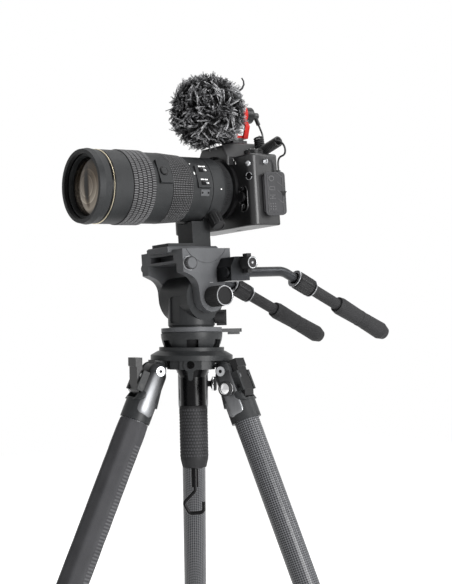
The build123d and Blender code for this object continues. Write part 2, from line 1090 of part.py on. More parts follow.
save(pan_lever.part, "pan_lever")

# Head trunk: an upright cylinder that carries the tilt drum and its axle
knob_frame = turned_frame(column, pan_knob_bearing)
trunk_top = tilt_rise
with BuildPart() as head_trunk:
    turned(
        column,
        (spigot_radius + turning_gap, trunk_foot),
        (trunk_radius - trunk_groove, trunk_foot),
        (trunk_radius - trunk_groove, trunk_groove_foot),
        (trunk_radius, trunk_groove_foot + trunk_groove),
        (trunk_radius, trunk_top),
        (0, trunk_top),
        (0, spigot_top + body_gap),
        (spigot_radius + turning_gap, spigot_top + body_gap),
    )
    rod(side(column, -drum_half, 0, tilt_rise), drum_radius, 2 * drum_half)
    brick(
        column,
        drum_half,
        2 * drum_half,
        -trunk_radius * 2,
        trunk_radius * 2,
        trunk_neck,
        3 * trunk_top,
        mode=Mode.SUBTRACT,
    )
    brick(
        column,
        -2 * drum_half,
        -drum_half,
        -trunk_radius * 2,
        trunk_radius * 2,
        trunk_neck,
        3 * trunk_top,
        mode=Mode.SUBTRACT,
    )
    rod(side(column, -axle_half, 0, tilt_rise), axle_radius, 2 * axle_half)
    with BuildSketch(front(column, panel_side, -trunk_radius * 2, (panel_foot + panel_top) / 2)) as panel:
        RectangleRounded(panel_width, panel_top - panel_foot, panel_round)
    extrude(panel.sketch, amount=-(trunk_radius + panel_depth), mode=Mode.SUBTRACT)
    rod(
        column.offset(trunk_foot - overcut),
        spigot_radius + turning_gap,
        spigot_top + body_gap - trunk_foot + overcut,
        mode=Mode.SUBTRACT,
    )
    rod(
        side(knob_frame, pan_knob_root, 0, pan_knob_rise),
        pan_knob_shank + turning_gap,
        trunk_radius,
        mode=Mode.SUBTRACT,
    )
    rod(
        side(knob_frame, pan_knob_start - body_gap, 0, pan_knob_rise),
        pan_wing_reach + 2 * body_gap,
        trunk_radius,
        mode=Mode.SUBTRACT,
    )
save(head_trunk.part, "head_trunk")

with BuildPart() as pan_drag_knob:
    rod(
        side(knob_frame, pan_knob_root + body_gap, 0, pan_knob_rise),
        pan_knob_shank,
        pan_knob_end - pan_knob_root - 2 * overcut,
    )
    rod(
        side(knob_frame, pan_knob_start, 0, pan_knob_rise),
        pan_knob_radius,
        pan_knob_end - pan_knob_start,
    )
    brick(
        level(knob_frame, 0, 0, pan_knob_rise),
        pan_knob_start + pan_wing_half,
        pan_knob_end + 2 * overcut,
        -pan_wing_half,
        pan_wing_half,
        -pan_wing_reach,
        pan_wing_reach,
    )
save(pan_drag_knob.part, "pan_drag_knob")

# Tilting cradle: platform, two cheeks, plate guide and front window
with BuildPart() as tilt_cradle:
    brick(
        deck,
        -cradle_half,
        cradle_half,
        platform_front,
        platform_rear,
        platform_foot,
        platform_top,
    )
    for hand in (far, near):
        with BuildSketch(side(deck, hand * cheek_inner)) as cheek:
            Circle(cheek_lobe)
            with BuildLine():
                Line((platform_front, platform_foot), (platform_rear, platform_foot))
                Line((platform_rear, platform_foot), (cheek_waist_rear, cheek_waist_rear_up))
                Line((cheek_waist_rear, cheek_waist_rear_up), (cheek_lobe, 0))
                Line((cheek_lobe, 0), (-cheek_lobe, 0))
                Line((-cheek_lobe, 0), (cheek_waist_front, cheek_waist_front_up))
                ThreePointArc(
                    (cheek_waist_front, cheek_waist_front_up),
                    (
                        (cheek_waist_front + cheek_front_in) / 2 + cheek_bow,
                        cheek_front_in_up - cheek_bow_drop,
                    ),
                    (cheek_front_in, cheek_front_in_up),
                )
                Line((cheek_front_in, cheek_front_in_up), (platform_front, cheek_front_low))
                Line((platform_front, cheek_front_low), (platform_front, platform_foot))
            make_face()
        extrude(cheek.sketch, amount=hand * (cradle_half - cheek_inner))
        rod(
            side(deck, hand * cheek_inner),
            axle_radius + turning_gap,
            hand * cradle_half,
            mode=Mode.SUBTRACT,
        )
        with BuildSketch(side(deck, hand * cradle_half, -cheek_arc_back, cheek_arc_up)) as arc:
            Circle(cheek_arc_radius)
            Circle(cheek_arc_radius - cheek_arc_width, mode=Mode.SUBTRACT)
        extrude(arc.sketch, amount=-hand * cheek_groove, mode=Mode.SUBTRACT)
    brick(
        deck,
        -front_window_half,
        front_window_half,
        platform_front - overcut,
        platform_front + front_window_depth,
        front_window_foot,
        front_window_top,
        mode=Mode.SUBTRACT,
    )
    brick(
        deck,
        -guide_half,
        guide_half,
        platform_front - overcut,
        platform_rear + overcut,
        platform_top - guide_depth,
        platform_top + overcut,
        mode=Mode.SUBTRACT,
    )
    rod(
        side(deck, -cradle_half, plate_knob_y, plate_knob_z),
        plate_boss_radius,
        -(plate_boss_end - cradle_half),
    )
    rod(
        side(deck, cradle_half - plate_shaft_seat, plate_knob_y, plate_knob_z),
        plate_shaft_radius + turning_gap,
        cradle_half,
        mode=Mode.SUBTRACT,
    )
    for hand in (far, near):
        rod(
            side(deck, hand * (rosette_root - body_gap), clamp_y, clamp_z),
            rosette_pin + turning_gap,
            hand * cradle_half,
            mode=Mode.SUBTRACT,
        )
save(tilt_cradle.part, "tilt_cradle")

with BuildPart() as tilt_drag_knob:
    rod(side(deck, drag_knob_start), drag_knob_radius, drag_knob_end - drag_knob_start)
    rod(side(deck, axle_half + body_gap), bolt_radius, drag_knob_start - axle_half)
    brick(
        deck,
        drag_knob_end - drag_tab_length,
        drag_tab_end,
        0,
        drag_tab_reach,
        -drag_tab,
        drag_tab,
    )
    rod(side(deck, drag_knob_end), drag_knob_radius - drag_rim, -drag_dish, mode=Mode.SUBTRACT)
save(tilt_drag_knob.part, "tilt_drag_knob")

with BuildPart() as plate_lock_knob:
    rod(
        side(deck, plate_knob_start, plate_knob_y, plate_knob_z),
        plate_knob_radius,
        plate_knob_end - plate_knob_start,
    )
    rod(
        side(deck, cradle_half - plate_shaft_seat + body_gap, plate_knob_y, plate_knob_z),
        plate_shaft_radius,
        plate_shaft_seat,
    )
save(plate_lock_knob.part, "plate_lock_knob")

# Sliding camera plate
with BuildPart() as camera_plate:
    brick(
        deck,
        -plate_half,
        plate_half,
        plate_front,
        plate_rear,
        platform_top - guide_depth + hair_gap,
        plate_top,
    )
    top_edges = camera_plate.faces().sort_by(Axis(deck.origin, deck.z_dir))[-1].edges()
    chamfer(top_edges, flange_step)
save(camera_plate.part, "camera_plate")

# Handles: bent arm with its clamp, clamp knob, twist collar and sliding grip
handle_hands = (("near", near), ("far", far))
slope = radians(arm_drop)
for name, hand in handle_hands:
    bend_point = at(deck, hand * handle_x, arm_bend, handle_z)
    run_dir = deck.y_dir * cos(slope) - deck.z_dir * sin(slope)
    run = Plane(origin=bend_point, x_dir=deck.x_dir, z_dir=run_dir)
    with BuildPart() as arm:
        with BuildLine() as path:
            FilletPolyline(
                at(deck, hand * handle_x, arm_front, handle_z),
                bend_point,
                at(run, 0, 0, arm_end),
                radius=arm_bend_radius,
            )
        with BuildSketch(Plane(origin=path.wire() @ 0, z_dir=path.wire() % 0)):
            Circle(arm_radius)
        sweep(path=path.wire())
        with BuildSketch(side(deck, hand * clamp_start)) as clamp:
            with Locations((clamp_y, clamp_z)):
                Circle(clamp_radius - clamp_waist)
            with BuildLine():
                Polyline(
                    (clamp_y - clamp_radius, handle_z - clamp_tail),
                    (clamp_y + clamp_radius - clamp_inset, handle_z - clamp_tail),
                    (clamp_y + clamp_radius - clamp_inset, clamp_z + clamp_radius - clamp_waist),
                    (clamp_y - clamp_radius / 2, clamp_z + clamp_radius - clamp_waist),
                    (clamp_y - clamp_radius, clamp_z),
                    close=True,
                )
            make_face()
        extrude(clamp.sketch, amount=hand * (clamp_end - clamp_start))
        rod(
            side(deck, hand * rosette_root, clamp_y, clamp_z),
            rosette_pin,
            hand * (clamp_start - rosette_root + overcut),
        )
        rod(
            side(deck, hand * handle_x, knob_y, knob_z),
            knob_shank + turning_gap,
            hand * clamp_z,
            mode=Mode.SUBTRACT,
        )
    save(arm.part, f"{name}_handle_arm")

    with BuildPart() as knob:
        rod(
            side(deck, hand * (handle_x + body_gap), knob_y, knob_z),
            knob_shank,
            hand * (knob_end - handle_x - overcut),
        )
        rod(
            side(deck, hand * knob_start, knob_y, knob_z),
            knob_radius,
            hand * (knob_end - knob_start),
        )
        brick(
            level(deck, 0, knob_y, knob_z),
            hand * (knob_start + overcut),
            hand * knob_wing_end,
            -knob_wing_half,
            knob_wing_half,
            -knob_wing_reach,
            knob_wing_reach,
        )
    save(knob.part, f"{name}_handle_knob")

    with BuildPart() as twist:
        turned(
            run,
            (arm_radius + turning_gap, twist_start),
            (twist_radius - twist_lip, twist_start),
            (twist_radius, twist_start + twist_lip),
            (twist_radius, twist_end - 3 * twist_lip),
            (twist_radius - twist_lip, twist_end),
            (grip_tube_radius + turning_gap, twist_end),
            (grip_tube_radius + turning_gap, grip_tube_start),
            (arm_radius + turning_gap, grip_tube_start),
        )
    save(twist.part, f"{name}_handle_collar")

    with BuildPart() as grip:
        turned(
            run,
            (arm_radius + turning_gap, grip_tube_start + body_gap),
            (grip_tube_radius, grip_tube_start + body_gap),
            (grip_tube_radius, grip_start),
            (hand_grip_waist, grip_start),
            (hand_grip_radius, grip_start + hand_grip_round * 2),
            (hand_grip_waist, (grip_start + handle_end) / 2),
            (hand_grip_radius, handle_end - hand_grip_round * 3),
            (hand_grip_radius - hand_grip_round, handle_end),
            (0, handle_end),
            (0, grip_bore_end),
            (arm_radius + turning_gap, grip_bore_end),
        )
    save(grip.part, f"{name}_handle_grip")

# Lens: the frame runs forward along the axis, so heights are minus y
lens = Plane(origin=at(deck, 0, 0, lens_rise), x_dir=deck.x_dir, z_dir=deck.y_dir)
with BuildPart() as lens_collar:
    turned(
        lens,
        (ring_inner, ring_front),
        (ring_radius, ring_front),
        (ring_radius, ring_rear),
        (ring_inner, ring_rear),
    )
    brick(
        deck,
        -foot_half,
        foot_half,
        foot_front,
        foot_rear,
        plate_top,
        lens_rise - ring_inner - 2 * overcut,
    )
    brick(
        deck,
        -foot_toe_half,
        foot_toe_half,
        foot_toe,
        foot_front + overcut,
        plate_top,
        plate_top + foot_toe_height,
    )
    knob_dir = turned_frame(lens, -collar_knob_bearing)
    rod(
        side(knob_dir, collar_knob_root, 0, collar_knob_y),
        collar_boss_radius,
        collar_knob_base - collar_knob_root,
    )
    rod(lens.offset(ring_front - body_gap), foot_clear, -3 * foot_half, mode=Mode.SUBTRACT)
    rod(lens.offset(ring_front), ring_inner, 2 * ring_rear, mode=Mode.SUBTRACT)
    rod(
        side(knob_dir, collar_knob_root + overcut, 0, collar_knob_y),
        collar_knob_shank + turning_gap,
        ring_radius,
        mode=Mode.SUBTRACT,
    )
save(lens_collar.part, "lens_collar")

with BuildPart() as collar_knob:
    rod(
        side(knob_dir, collar_knob_base + body_gap, 0, collar_knob_y),
        collar_knob_radius,
        collar_knob_end - collar_knob_base,
    )
    rod(
        side(knob_dir, collar_knob_root + overcut + body_gap, 0, collar_knob_y),
        collar_knob_shank,
        collar_knob_base - collar_knob_root,
    )
    rod(
        side(knob_dir, collar_knob_end + body_gap, 0, collar_knob_y),
        collar_knob_radius - knob_rim,
        -knob_dish,
        mode=Mode.SUBTRACT,
    )
save(collar_knob.part, "collar_knob")

focus_core = focus_radius - ring_wall
zoom_core = zoom_rear_radius - ring_wall
with BuildPart() as lens_barrel:
    turned(
        lens,
        (filter_radius, rim_front),
        (rim_edge, rim_front),
        (rim_radius, rim_peak),
        (rim_edge, rim_rear),
        (rim_neck, rim_rear),
        (rim_neck, barrel_front),
        (barrel_radius, barrel_front + barrel_edge),
        (barrel_radius, focus_front),
        (focus_core, focus_front),
        (focus_core, focus_rear),
        (button_radius, focus_rear),
        (button_radius, zoom_front),
        (zoom_core, zoom_front),
        (zoom_core, zoom_rear),
        (switch_radius, zoom_rear),
        (switch_radius, switch_rear),
        (journal_radius, switch_rear),
        (journal_radius, tail_front),
        (tail_radius, tail_front),
        (tail_taper, mount_rear - mount_depth),
        (mount_radius, mount_rear),
        (0, mount_rear),
        (0, rim_front + glass_seat + glass_edge),
        (glass_radius + turning_gap, rim_front + glass_seat + glass_edge),
        (glass_radius + turning_gap, rim_front + baffle_depth),
        (baffle_radius, rim_front + filter_depth),
        (filter_radius, rim_front + filter_depth),
    )
    panel = turned_frame(lens, button_panel_turn)
    brick(
        panel,
        button_radius - ring_wall,
        button_radius + button_panel_lift,
        -button_panel_half,
        button_panel_half,
        button_panel_front,
        zoom_front - overcut,
    )
    rod(
        side(panel, button_radius - ring_wall, 0, lens_button_y),
        lens_button_radius,
        ring_wall + 2 * button_panel_lift,
    )
    switch_panel = turned_frame(lens, switch_panel_turn)
    brick(
        switch_panel,
        switch_radius - ring_wall,
        switch_radius + switch_panel_lift,
        -switch_panel_half,
        switch_panel_half,
        switch_panel_front,
        switch_panel_rear,
    )
save(lens_barrel.part, "lens_barrel")

with BuildPart() as front_element:
    glass_back = rim_front + glass_seat + glass_edge - turning_gap
    glass_nose = rim_front + glass_seat - glass_bulge
    rod(lens.offset(glass_back), glass_radius, glass_nose - glass_back)
    with Locations(at(lens, 0, 0, glass_nose + glass_ball)):
        Sphere(glass_ball, mode=Mode.INTERSECT)
save(front_element.part, "front_element")

with BuildPart() as focus_ring:
    turned(
        lens,
        (focus_core + turning_gap, focus_front + body_gap),
        (focus_radius, focus_front + body_gap),
        (focus_radius, focus_rear - body_gap),
        (focus_core + turning_gap, focus_rear - body_gap),
    )
save(focus_ring.part, "focus_ring")

with BuildPart() as zoom_ring:
    turned(
        lens,
        (zoom_core + turning_gap, zoom_front + body_gap),
        (zoom_front_radius, zoom_front + body_gap),
        (zoom_rear_radius, zoom_rear - body_gap),
        (zoom_core + turning_gap, zoom_rear - body_gap),
    )
save(zoom_ring.part, "zoom_ring")

# Camera body
lens_level = level(deck, 0, 0, lens_rise)
with BuildPart() as prism:
    with BuildSketch(front(lens_level, 0, prism_front)) as hump:
        with BuildLine():
            Polyline(
                (-prism_half, shoulder_rise - prism_skirt),
                (prism_half, shoulder_rise - prism_skirt),
                (prism_half, shoulder_rise),
                (prism_top_half, prism_rise),
                (-prism_top_half, prism_rise),
                (-prism_half, shoulder_rise),
                close=True,
            )
        make_face()
        fillet(hump.vertices().group_by(Axis.Y)[-1], prism_round)
    extrude(hump.sketch, amount=-(prism_rear - prism_front))
    slab(
        side(lens_level, -prism_half),
        (prism_front - overcut, nose_rise),
        (roof_start, prism_rise),
        (roof_start, prism_rise + prism_skirt),
        (prism_front - overcut, prism_rise + prism_skirt),
        depth=2 * prism_half,
        mode=Mode.SUBTRACT,
    )
    nose_face = prism.faces().sort_by(Axis(lens_level.origin, deck.y_dir))[0]
    fillet(nose_face.edges(), prism_edge)
    rod(
        front(lens_level, 0, prism_front - overcut),
        throat_clear,
        -(body_front - prism_front + overcut),
        mode=Mode.SUBTRACT,
    )

with BuildPart() as camera_body:
    with BuildSketch(lens_level.offset(-base_drop)) as plan:
        with BuildLine():
            Polyline(
                (body_left, body_front),
                (body_left, body_rear),
                (body_right, body_rear),
                (body_right, handgrip_front),
                (handgrip_in - handgrip_slant, handgrip_front),
                (handgrip_in, body_front),
                close=True,
            )
        make_face()
        rears = plan.vertices().group_by(Axis.Y)[-1]
        fillet(rears, rear_round)
        grip_corners = plan.vertices().group_by(Axis.Y)[0]
        fillet(grip_corners, grip_round)
        near_corner = plan.vertices().filter_by(lambda v: abs(v.Y - body_front) < tiny).sort_by(Axis.X)[-1]
        fillet(near_corner, column_round)
    extrude(plan.sketch, amount=base_drop + shoulder_rise)
    tops = camera_body.faces().sort_by(Axis(deck.origin, deck.z_dir))
    fillet(tops[-1].edges(), shell_round)
    bottoms = camera_body.faces().sort_by(Axis(deck.origin, deck.z_dir))
    fillet(bottoms[0].edges(), base_round)
    rod(
        front(deck, 0, mount_ring_front, lens_rise),
        throat_half,
        -(body_front - mount_ring_front + throat_root),
    )
    add(prism.part)
    brick(
        lens_level,
        -eyepiece_half,
        eyepiece_half,
        prism_rear - overcut,
        eyepiece_rear,
        eyepiece_low,
        eyepiece_high,
    )
    brick(
        lens_level,
        -eyepiece_half + eyepiece_wall,
        eyepiece_half - eyepiece_wall,
        eyepiece_rear - eyepiece_dish,
        eyepiece_rear + overcut,
        eyepiece_low + eyepiece_wall,
        eyepiece_high - eyepiece_wall,
        mode=Mode.SUBTRACT,
    )
    brick(
        lens_level,
        -shoe_rail_half - overcut,
        shoe_rail_half + overcut,
        shoe_front,
        shoe_rear,
        prism_rise - overcut,
        prism_rise + shoe_slot_height + shoe_lip,
    )
    brick(
        lens_level,
        -shoe_half,
        shoe_half,
        shoe_front - overcut,
        shoe_rear + overcut,
        prism_rise,
        prism_rise + shoe_slot_height,
        mode=Mode.SUBTRACT,
    )
    brick(
        lens_level,
        -shoe_lip_half,
        shoe_lip_half,
        shoe_front - overcut,
        shoe_rear + overcut,
        prism_rise,
        prism_rise + shoe_slot_height + 2 * shoe_lip,
        mode=Mode.SUBTRACT,
    )
    rod(
        front(deck, 0, mount_ring_front - overcut, lens_rise),
        mount_radius + body_gap,
        -(mount_rear - mount_ring_front + overcut + body_gap),
        mode=Mode.SUBTRACT,
    )
    rod(
        level(lens_level, 0, socket_y, -base_drop),
        tripod_socket_radius,
        tripod_socket_depth,
        mode=Mode.SUBTRACT,
    )
    rod(
        level(lens_level, dial_x, dial_y, shoulder_rise),
        dial_pin + turning_gap,
        -dial_pin_depth - overcut,
        mode=Mode.SUBTRACT,
    )
    rod(
        level(lens_level, shutter_x, shutter_y, shoulder_rise),
        shutter_pin + turning_gap,
        -dial_pin_depth - overcut - shutter_travel,
        mode=Mode.SUBTRACT,
    )
    rod(
        front(lens_level, release_x, body_front, release_z),
        release_pin + turning_gap,
        -(release_depth + release_travel + overcut),
        mode=Mode.SUBTRACT,
    )
    brick(
        lens_level,
        screen_x - screen_half,
        screen_x + screen_half,
        body_rear - screen_sink,
        body_rear + screen_thick,
        screen_low,
        screen_high,
        mode=Mode.SUBTRACT,
    )
    plug_port = at(lens_level, body_left, cover_hinge_y + jack_back, jack_rise)
    rod(
        Plane(origin=plug_port, x_dir=deck.y_dir, z_dir=deck.x_dir),
        jack_radius + turning_gap,
        -jack_depth - overcut,
        mode=Mode.SUBTRACT,
    )
save(camera_body.part, "camera_body")

with BuildPart() as mode_dial:
    rod(level(lens_level, dial_x, dial_y, shoulder_rise + hair_gap), dial_radius, dial_height)
    rod(level(lens_level, dial_x, dial_y, shoulder_rise + overcut), dial_pin, -dial_pin_depth)
    chamfer(mode_dial.faces().sort_by(Axis(deck.origin, deck.z_dir))[-1].edges(), dial_edge)
save(mode_dial.part, "mode_dial")

with BuildPart() as shutter_button:
    rod(
        level(lens_level, shutter_x, shutter_y, shoulder_rise + shutter_travel + body_gap / 2),
        shutter_radius,
        shutter_height,
    )
    rod(
        level(lens_level, shutter_x, shutter_y, shoulder_rise + shutter_travel + overcut),
        shutter_pin,
        -dial_pin_depth,
    )
save(shutter_button.part, "shutter_button")

with BuildPart() as release_button:
    release_face = body_front - release_travel - body_gap / 2
    rod(front(lens_level, release_x, release_face, release_z), release_radius, release_height)
    rod(
        front(lens_level, release_x, release_face - overcut, release_z),
        release_pin,
        -release_depth,
    )
save(release_button.part, "release_button")

with BuildPart() as rear_screen:
    brick(
        lens_level,
        screen_x - screen_half + body_gap / 2,
        screen_x + screen_half - body_gap / 2,
        body_rear - screen_sink,
        body_rear - screen_sink + screen_thick,
        screen_low + body_gap / 2,
        screen_high - body_gap / 2,
    )
save(rear_screen.part, "rear_screen")

# Port cover, standing part open on its front edge
swing = radians(cover_open)
cover_frame = Plane(
    origin=at(lens_level, body_left + cover_knuckle + body_gap, cover_hinge_y, 0),
    x_dir=deck.y_dir * cos(swing) + deck.x_dir * sin(swing),
    z_dir=deck.x_dir * cos(swing) - deck.y_dir * sin(swing),
)
with BuildPart() as port_cover:
    with BuildSketch(cover_frame) as sheet:
        with Locations((cover_width / 2, (cover_low + cover_high) / 2)):
            RectangleRounded(cover_width, cover_high - cover_low, cover_round)
    extrude(sheet.sketch, amount=cover_thick)
    rod(
        level(lens_level, body_left + cover_knuckle + hair_gap, cover_hinge_y, cover_low + cover_round),
        cover_knuckle,
        cover_high - cover_low - 2 * cover_round,
    )
save(port_cover.part, "port_cover")

# Microphone in its windscreen, on a lyre mount
mic = Plane(origin=at(lens_level, 0, 0, mic_rise), x_dir=deck.x_dir, z_dir=deck.y_dir)
with BuildPart() as windscreen:
    with Locations(Location(mic.offset(fur_centre))):
        Sphere(fur_radius)
    rod(
        mic.offset(mic_front - body_gap),
        mic_radius + fur_bore_gap,
        fur_centre + fur_radius,
        mode=Mode.SUBTRACT,
    )
    brick(
        lens_level,
        -fur_radius,
        fur_radius,
        fur_flat_front,
        prism_rear,
        prism_rise - fur_radius,
        fur_flat,
        mode=Mode.SUBTRACT,
    )
    brick(
        lens_level,
        -foot_wheel_radius - 2 * overcut,
        foot_wheel_radius + 2 * overcut,
        foot_y - foot_wheel_radius - 2 * overcut,
        prism_rear,
        prism_rise,
        lyre_foot + lyre_bar_height + body_gap,
        mode=Mode.SUBTRACT,
    )
save(windscreen.part, "windscreen")

with BuildPart() as mic_body:
    rod(mic.offset(mic_front), mic_radius, mic_rear - mic_front)
    chamfer(mic_body.edges().filter_by(GeomType.CIRCLE), mic_edge)
    rod(mic.offset(mic_rear), jack_radius + turning_gap, -jack_depth - overcut, mode=Mode.SUBTRACT)
save(mic_body.part, "mic_body")

with BuildPart() as shock_mount:
    with BuildSketch(front(lens_level, 0, lyre_y + lyre_half)) as lyre:
        with Locations((0, mic_rise)):
            Circle(mic_radius + turning_gap + lyre_wall)
        for hand in (far, near):
            with BuildLine():
                Polyline(
                    (hand * lyre_root, mic_rise - lyre_root_drop),
                    (hand * (lyre_root + lyre_wall), mic_rise - lyre_root_drop + lyre_wall),
                    (hand * lyre_spread, mic_rise - lyre_knee),
                    (hand * (lyre_bar_half + lyre_wall), lyre_foot),
                    (hand * (lyre_bar_half - lyre_wall), lyre_foot),
                    (hand * (lyre_bar_half - lyre_wall), lyre_foot + lyre_wall),
                    (hand * (lyre_bar_half + overcut), lyre_foot + lyre_bar_height),
                    (hand * (lyre_spread - lyre_wall), mic_rise - lyre_knee),
                    close=True,
                )
            make_face()
        with Locations((0, mic_rise)):
            Circle(mic_radius + turning_gap, mode=Mode.SUBTRACT)
    extrude(lyre.sketch, amount=2 * lyre_half)
    brick(
        lens_level,
        -lyre_bar_half,
        lyre_bar_half,
        lyre_bar_front,
        lyre_y + lyre_half,
        lyre_foot,
        lyre_foot + lyre_bar_height,
    )
save(shock_mount.part, "shock_mount")

with BuildPart() as shoe_foot:
    brick(
        lens_level,
        -foot_plate_half,
        foot_plate_half,
        shoe_front + overcut,
        shoe_rear - overcut,
        prism_rise + seat_gap,
        prism_rise + seat_gap + foot_plate_height,
    )
    rod(
        level(lens_level, 0, foot_y, prism_rise + overcut),
        foot_neck_half - body_gap,
        lyre_foot - prism_rise - overcut - seat_gap / 2,
    )
    rod(
        level(lens_level, 0, foot_y, prism_rise + shoe_slot_height + shoe_lip + cover_lift),
        foot_wheel_radius,
        lyre_foot - prism_rise - shoe_slot_height - shoe_lip - cover_lift - seat_gap / 2,
    )
save(shoe_foot.part, "shoe_foot")

# Cable plugs, leads and curls
with BuildPart() as cable_plugs:
    rod(mic.offset(mic_rear + seat_gap), plug_radius, plug_reach)
    rod(mic.offset(mic_rear + overcut), jack_radius, -jack_depth)
    boot_top = at(mic, 0, 0, mic_rear + plug_reach - plug_radius + overcut)
    boot_dir = (deck.x_dir * boot_side - deck.z_dir + deck.y_dir * boot_back).normalized()
    rod(Plane(origin=boot_top, z_dir=boot_dir), boot_radius, plug_drop)
    camera_jack = Plane(
        origin=plug_port + deck.x_dir * seat_gap,
        x_dir=deck.y_dir,
        z_dir=deck.x_dir,
    )
    rod(camera_jack, port_plug_radius, port_plug_reach)
    rod(camera_jack.offset(overcut), jack_radius, -jack_depth)
    exit_point = plug_port + deck.x_dir * port_plug_exit
    exit_dir = deck.z_dir
    rod(Plane(origin=exit_point, z_dir=exit_dir), boot_radius, plug_drop)
save(cable_plugs.part, "cable_plugs")

boot_end = boot_top + boot_dir * (plug_drop + cable_radius * 2 + turning_gap)
exit_end = exit_point + exit_dir * (plug_drop + cable_radius * 2 + turning_gap)


def biarc(start, start_dir, end, end_dir):
    """The joint of two arcs that leave start and reach end along given directions."""
    chord = end - start
    both_dirs = start_dir + end_dir
    a = 2 * (start_dir.dot(end_dir) - 1)
    b = -2 * chord.dot(both_dirs)
    c = chord.dot(chord)
    if abs(a) < tiny:
        d = -c / b
    else:
        d = (-b - sqrt(b * b - 4 * a * c)) / (2 * a)
    first = start + start_dir * d
    second = end - end_dir * d
    return (first + second) / 2, (second - first).normalized()


# The cable: from the microphone's plug into the curls and out to the camera's plug, one tube
coil_top = at(lens_level, curl_top_x, curl_y, curl_top_z)
coil_low = at(lens_level, curl_low_x, curl_y, curl_low_z)
coil_out = at(lens_level, curl_out_x, curl_y, curl_out_z)
with BuildLine() as coil_axis:
    FilletPolyline(coil_top, coil_low, coil_out, radius=curl_bend)
axis_wire = coil_axis.wire()
coil_normal = (coil_low - coil_top).cross(coil_out - coil_low).normalized()
turns = int(axis_wire.length / curl_pitch) + 1 / 2
steps = int(turns * curl_steps)


def coil_place(t):
    """A point of the curl's middle line, t from 0 to 1 along the coil's axis."""
    along = axis_wire % t
    third = along.cross(coil_normal)
    angle = pi + 2 * pi * turns * t
    return axis_wire @ t + coil_normal * (curl_radius * cos(angle)) + third * (curl_radius * sin(angle))


def coil_heading(t):
    """The direction of the curl's middle line."""
    ahead = coil_place(min(1, t + fine_step))
    behind = coil_place(max(0, t - fine_step))
    return (ahead - behind).normalized()


cable_points = [boot_end]
cable_dirs = [boot_dir]
for n in range(steps + 1):
    cable_points.append(coil_place(n / steps))
    cable_dirs.append(coil_heading(n / steps))
cable_points.append(exit_end)
cable_dirs.append(-exit_dir)
with BuildPart() as mic_cable:
    with BuildLine() as path:
        for n in range(len(cable_points) - 1):
            mid, mid_dir = biarc(
                cable_points[n],
                cable_dirs[n],
                cable_points[n + 1],
                cable_dirs[n + 1],
            )
            TangentArc(cable_points[n], mid, tangent=cable_dirs[n])
            TangentArc(mid, cable_points[n + 1], tangent=mid_dir)
        Line(exit_end, exit_end - exit_dir * cable_radius * 2)
        Line(boot_end - boot_dir * cable_radius * 2, boot_end)
    cable_path = path.wire()
    with BuildSketch(Plane(origin=boot_end - boot_dir * cable_radius * 2, z_dir=boot_dir)):
        Circle(cable_radius)
    sweep(path=cable_path)
save(mic_cable.part, "mic_cable")
volume_error = mic_cable.part.volume / (pi * cable_radius**2 * cable_path.length) - 1
print("curls", turns, "cable length", round(cable_path.length, 1), "volume error", round(volume_error, 4))

# Least gap between one turn and the next, measured between middle lines
count = int(turns * turn_samples)
fine = [coil_place(n / count) for n in range(count + 1)]
gap = min(
    (fine[i] - fine[j]).length - 2 * cable_radius
    for i in range(len(fine))
    for j in range(i + turn_samples // 2, min(i + 2 * turn_samples, len(fine)))
)
print("least gap of the curls", round(gap, 2))
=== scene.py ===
# %% [markdown]
# A reflex camera with a long lens and a furry microphone stands on a fluid video head and a
# carbon tripod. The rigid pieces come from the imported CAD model, which stays fixed. This lesson
# adds the finishes and the small forms that make it look real: ribs, studs, knurls, fur and cord.

# %% Load the fixed frame
import json
import math
import random

import bmesh
import bpy
from mathutils import Matrix, Vector, noise

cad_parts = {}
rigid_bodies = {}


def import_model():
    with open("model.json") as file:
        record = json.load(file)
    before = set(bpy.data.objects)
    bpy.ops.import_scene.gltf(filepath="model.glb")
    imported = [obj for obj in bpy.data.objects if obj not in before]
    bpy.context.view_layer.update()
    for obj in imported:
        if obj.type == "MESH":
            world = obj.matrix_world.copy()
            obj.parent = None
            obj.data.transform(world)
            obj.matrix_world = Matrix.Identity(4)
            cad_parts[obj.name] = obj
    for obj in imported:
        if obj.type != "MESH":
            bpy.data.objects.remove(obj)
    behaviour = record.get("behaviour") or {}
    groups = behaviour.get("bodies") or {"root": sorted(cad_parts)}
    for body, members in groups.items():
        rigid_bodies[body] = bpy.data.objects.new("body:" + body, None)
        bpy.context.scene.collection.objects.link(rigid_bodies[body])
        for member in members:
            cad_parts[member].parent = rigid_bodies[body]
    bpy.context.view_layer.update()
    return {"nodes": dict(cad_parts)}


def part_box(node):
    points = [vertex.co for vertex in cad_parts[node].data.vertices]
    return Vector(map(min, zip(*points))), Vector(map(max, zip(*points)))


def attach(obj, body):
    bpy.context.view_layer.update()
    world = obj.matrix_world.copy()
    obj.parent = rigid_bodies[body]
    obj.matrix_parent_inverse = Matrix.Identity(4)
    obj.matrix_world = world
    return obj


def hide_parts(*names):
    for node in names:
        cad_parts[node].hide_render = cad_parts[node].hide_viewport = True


for leftover in list(bpy.data.objects):
    bpy.data.objects.remove(leftover)
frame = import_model()
nodes = frame["nodes"]
scene = bpy.context.scene
MM = 0.001


def show(name, data):
    """A new object, linked to the scene."""
    made = bpy.data.objects.new(name, data)
    scene.collection.objects.link(made)
    return made


# %% [markdown]
# The head leans a little to one side and the lens points a little down, as a tripod on a real
# floor does. Every piece is drawn in one of a few local frames, so its numbers stay simple, and
# a matrix then carries it to its place. Lengths are in millimetres unless MM is written out.


# %% Local frames of the column, the deck, the lens and the legs
def axes_frame(origin, x_dir, z_dir):
    x = Vector(x_dir).normalized()
    z = Vector(z_dir).normalized()
    y = z.cross(x)
    return Matrix.Translation(origin) @ Matrix((x, y, z)).transposed().to_4x4()


def along(base, x=0.0, y=0.0, z=0.0):
    return base @ Matrix.Translation((x * MM, y * MM, z * MM))


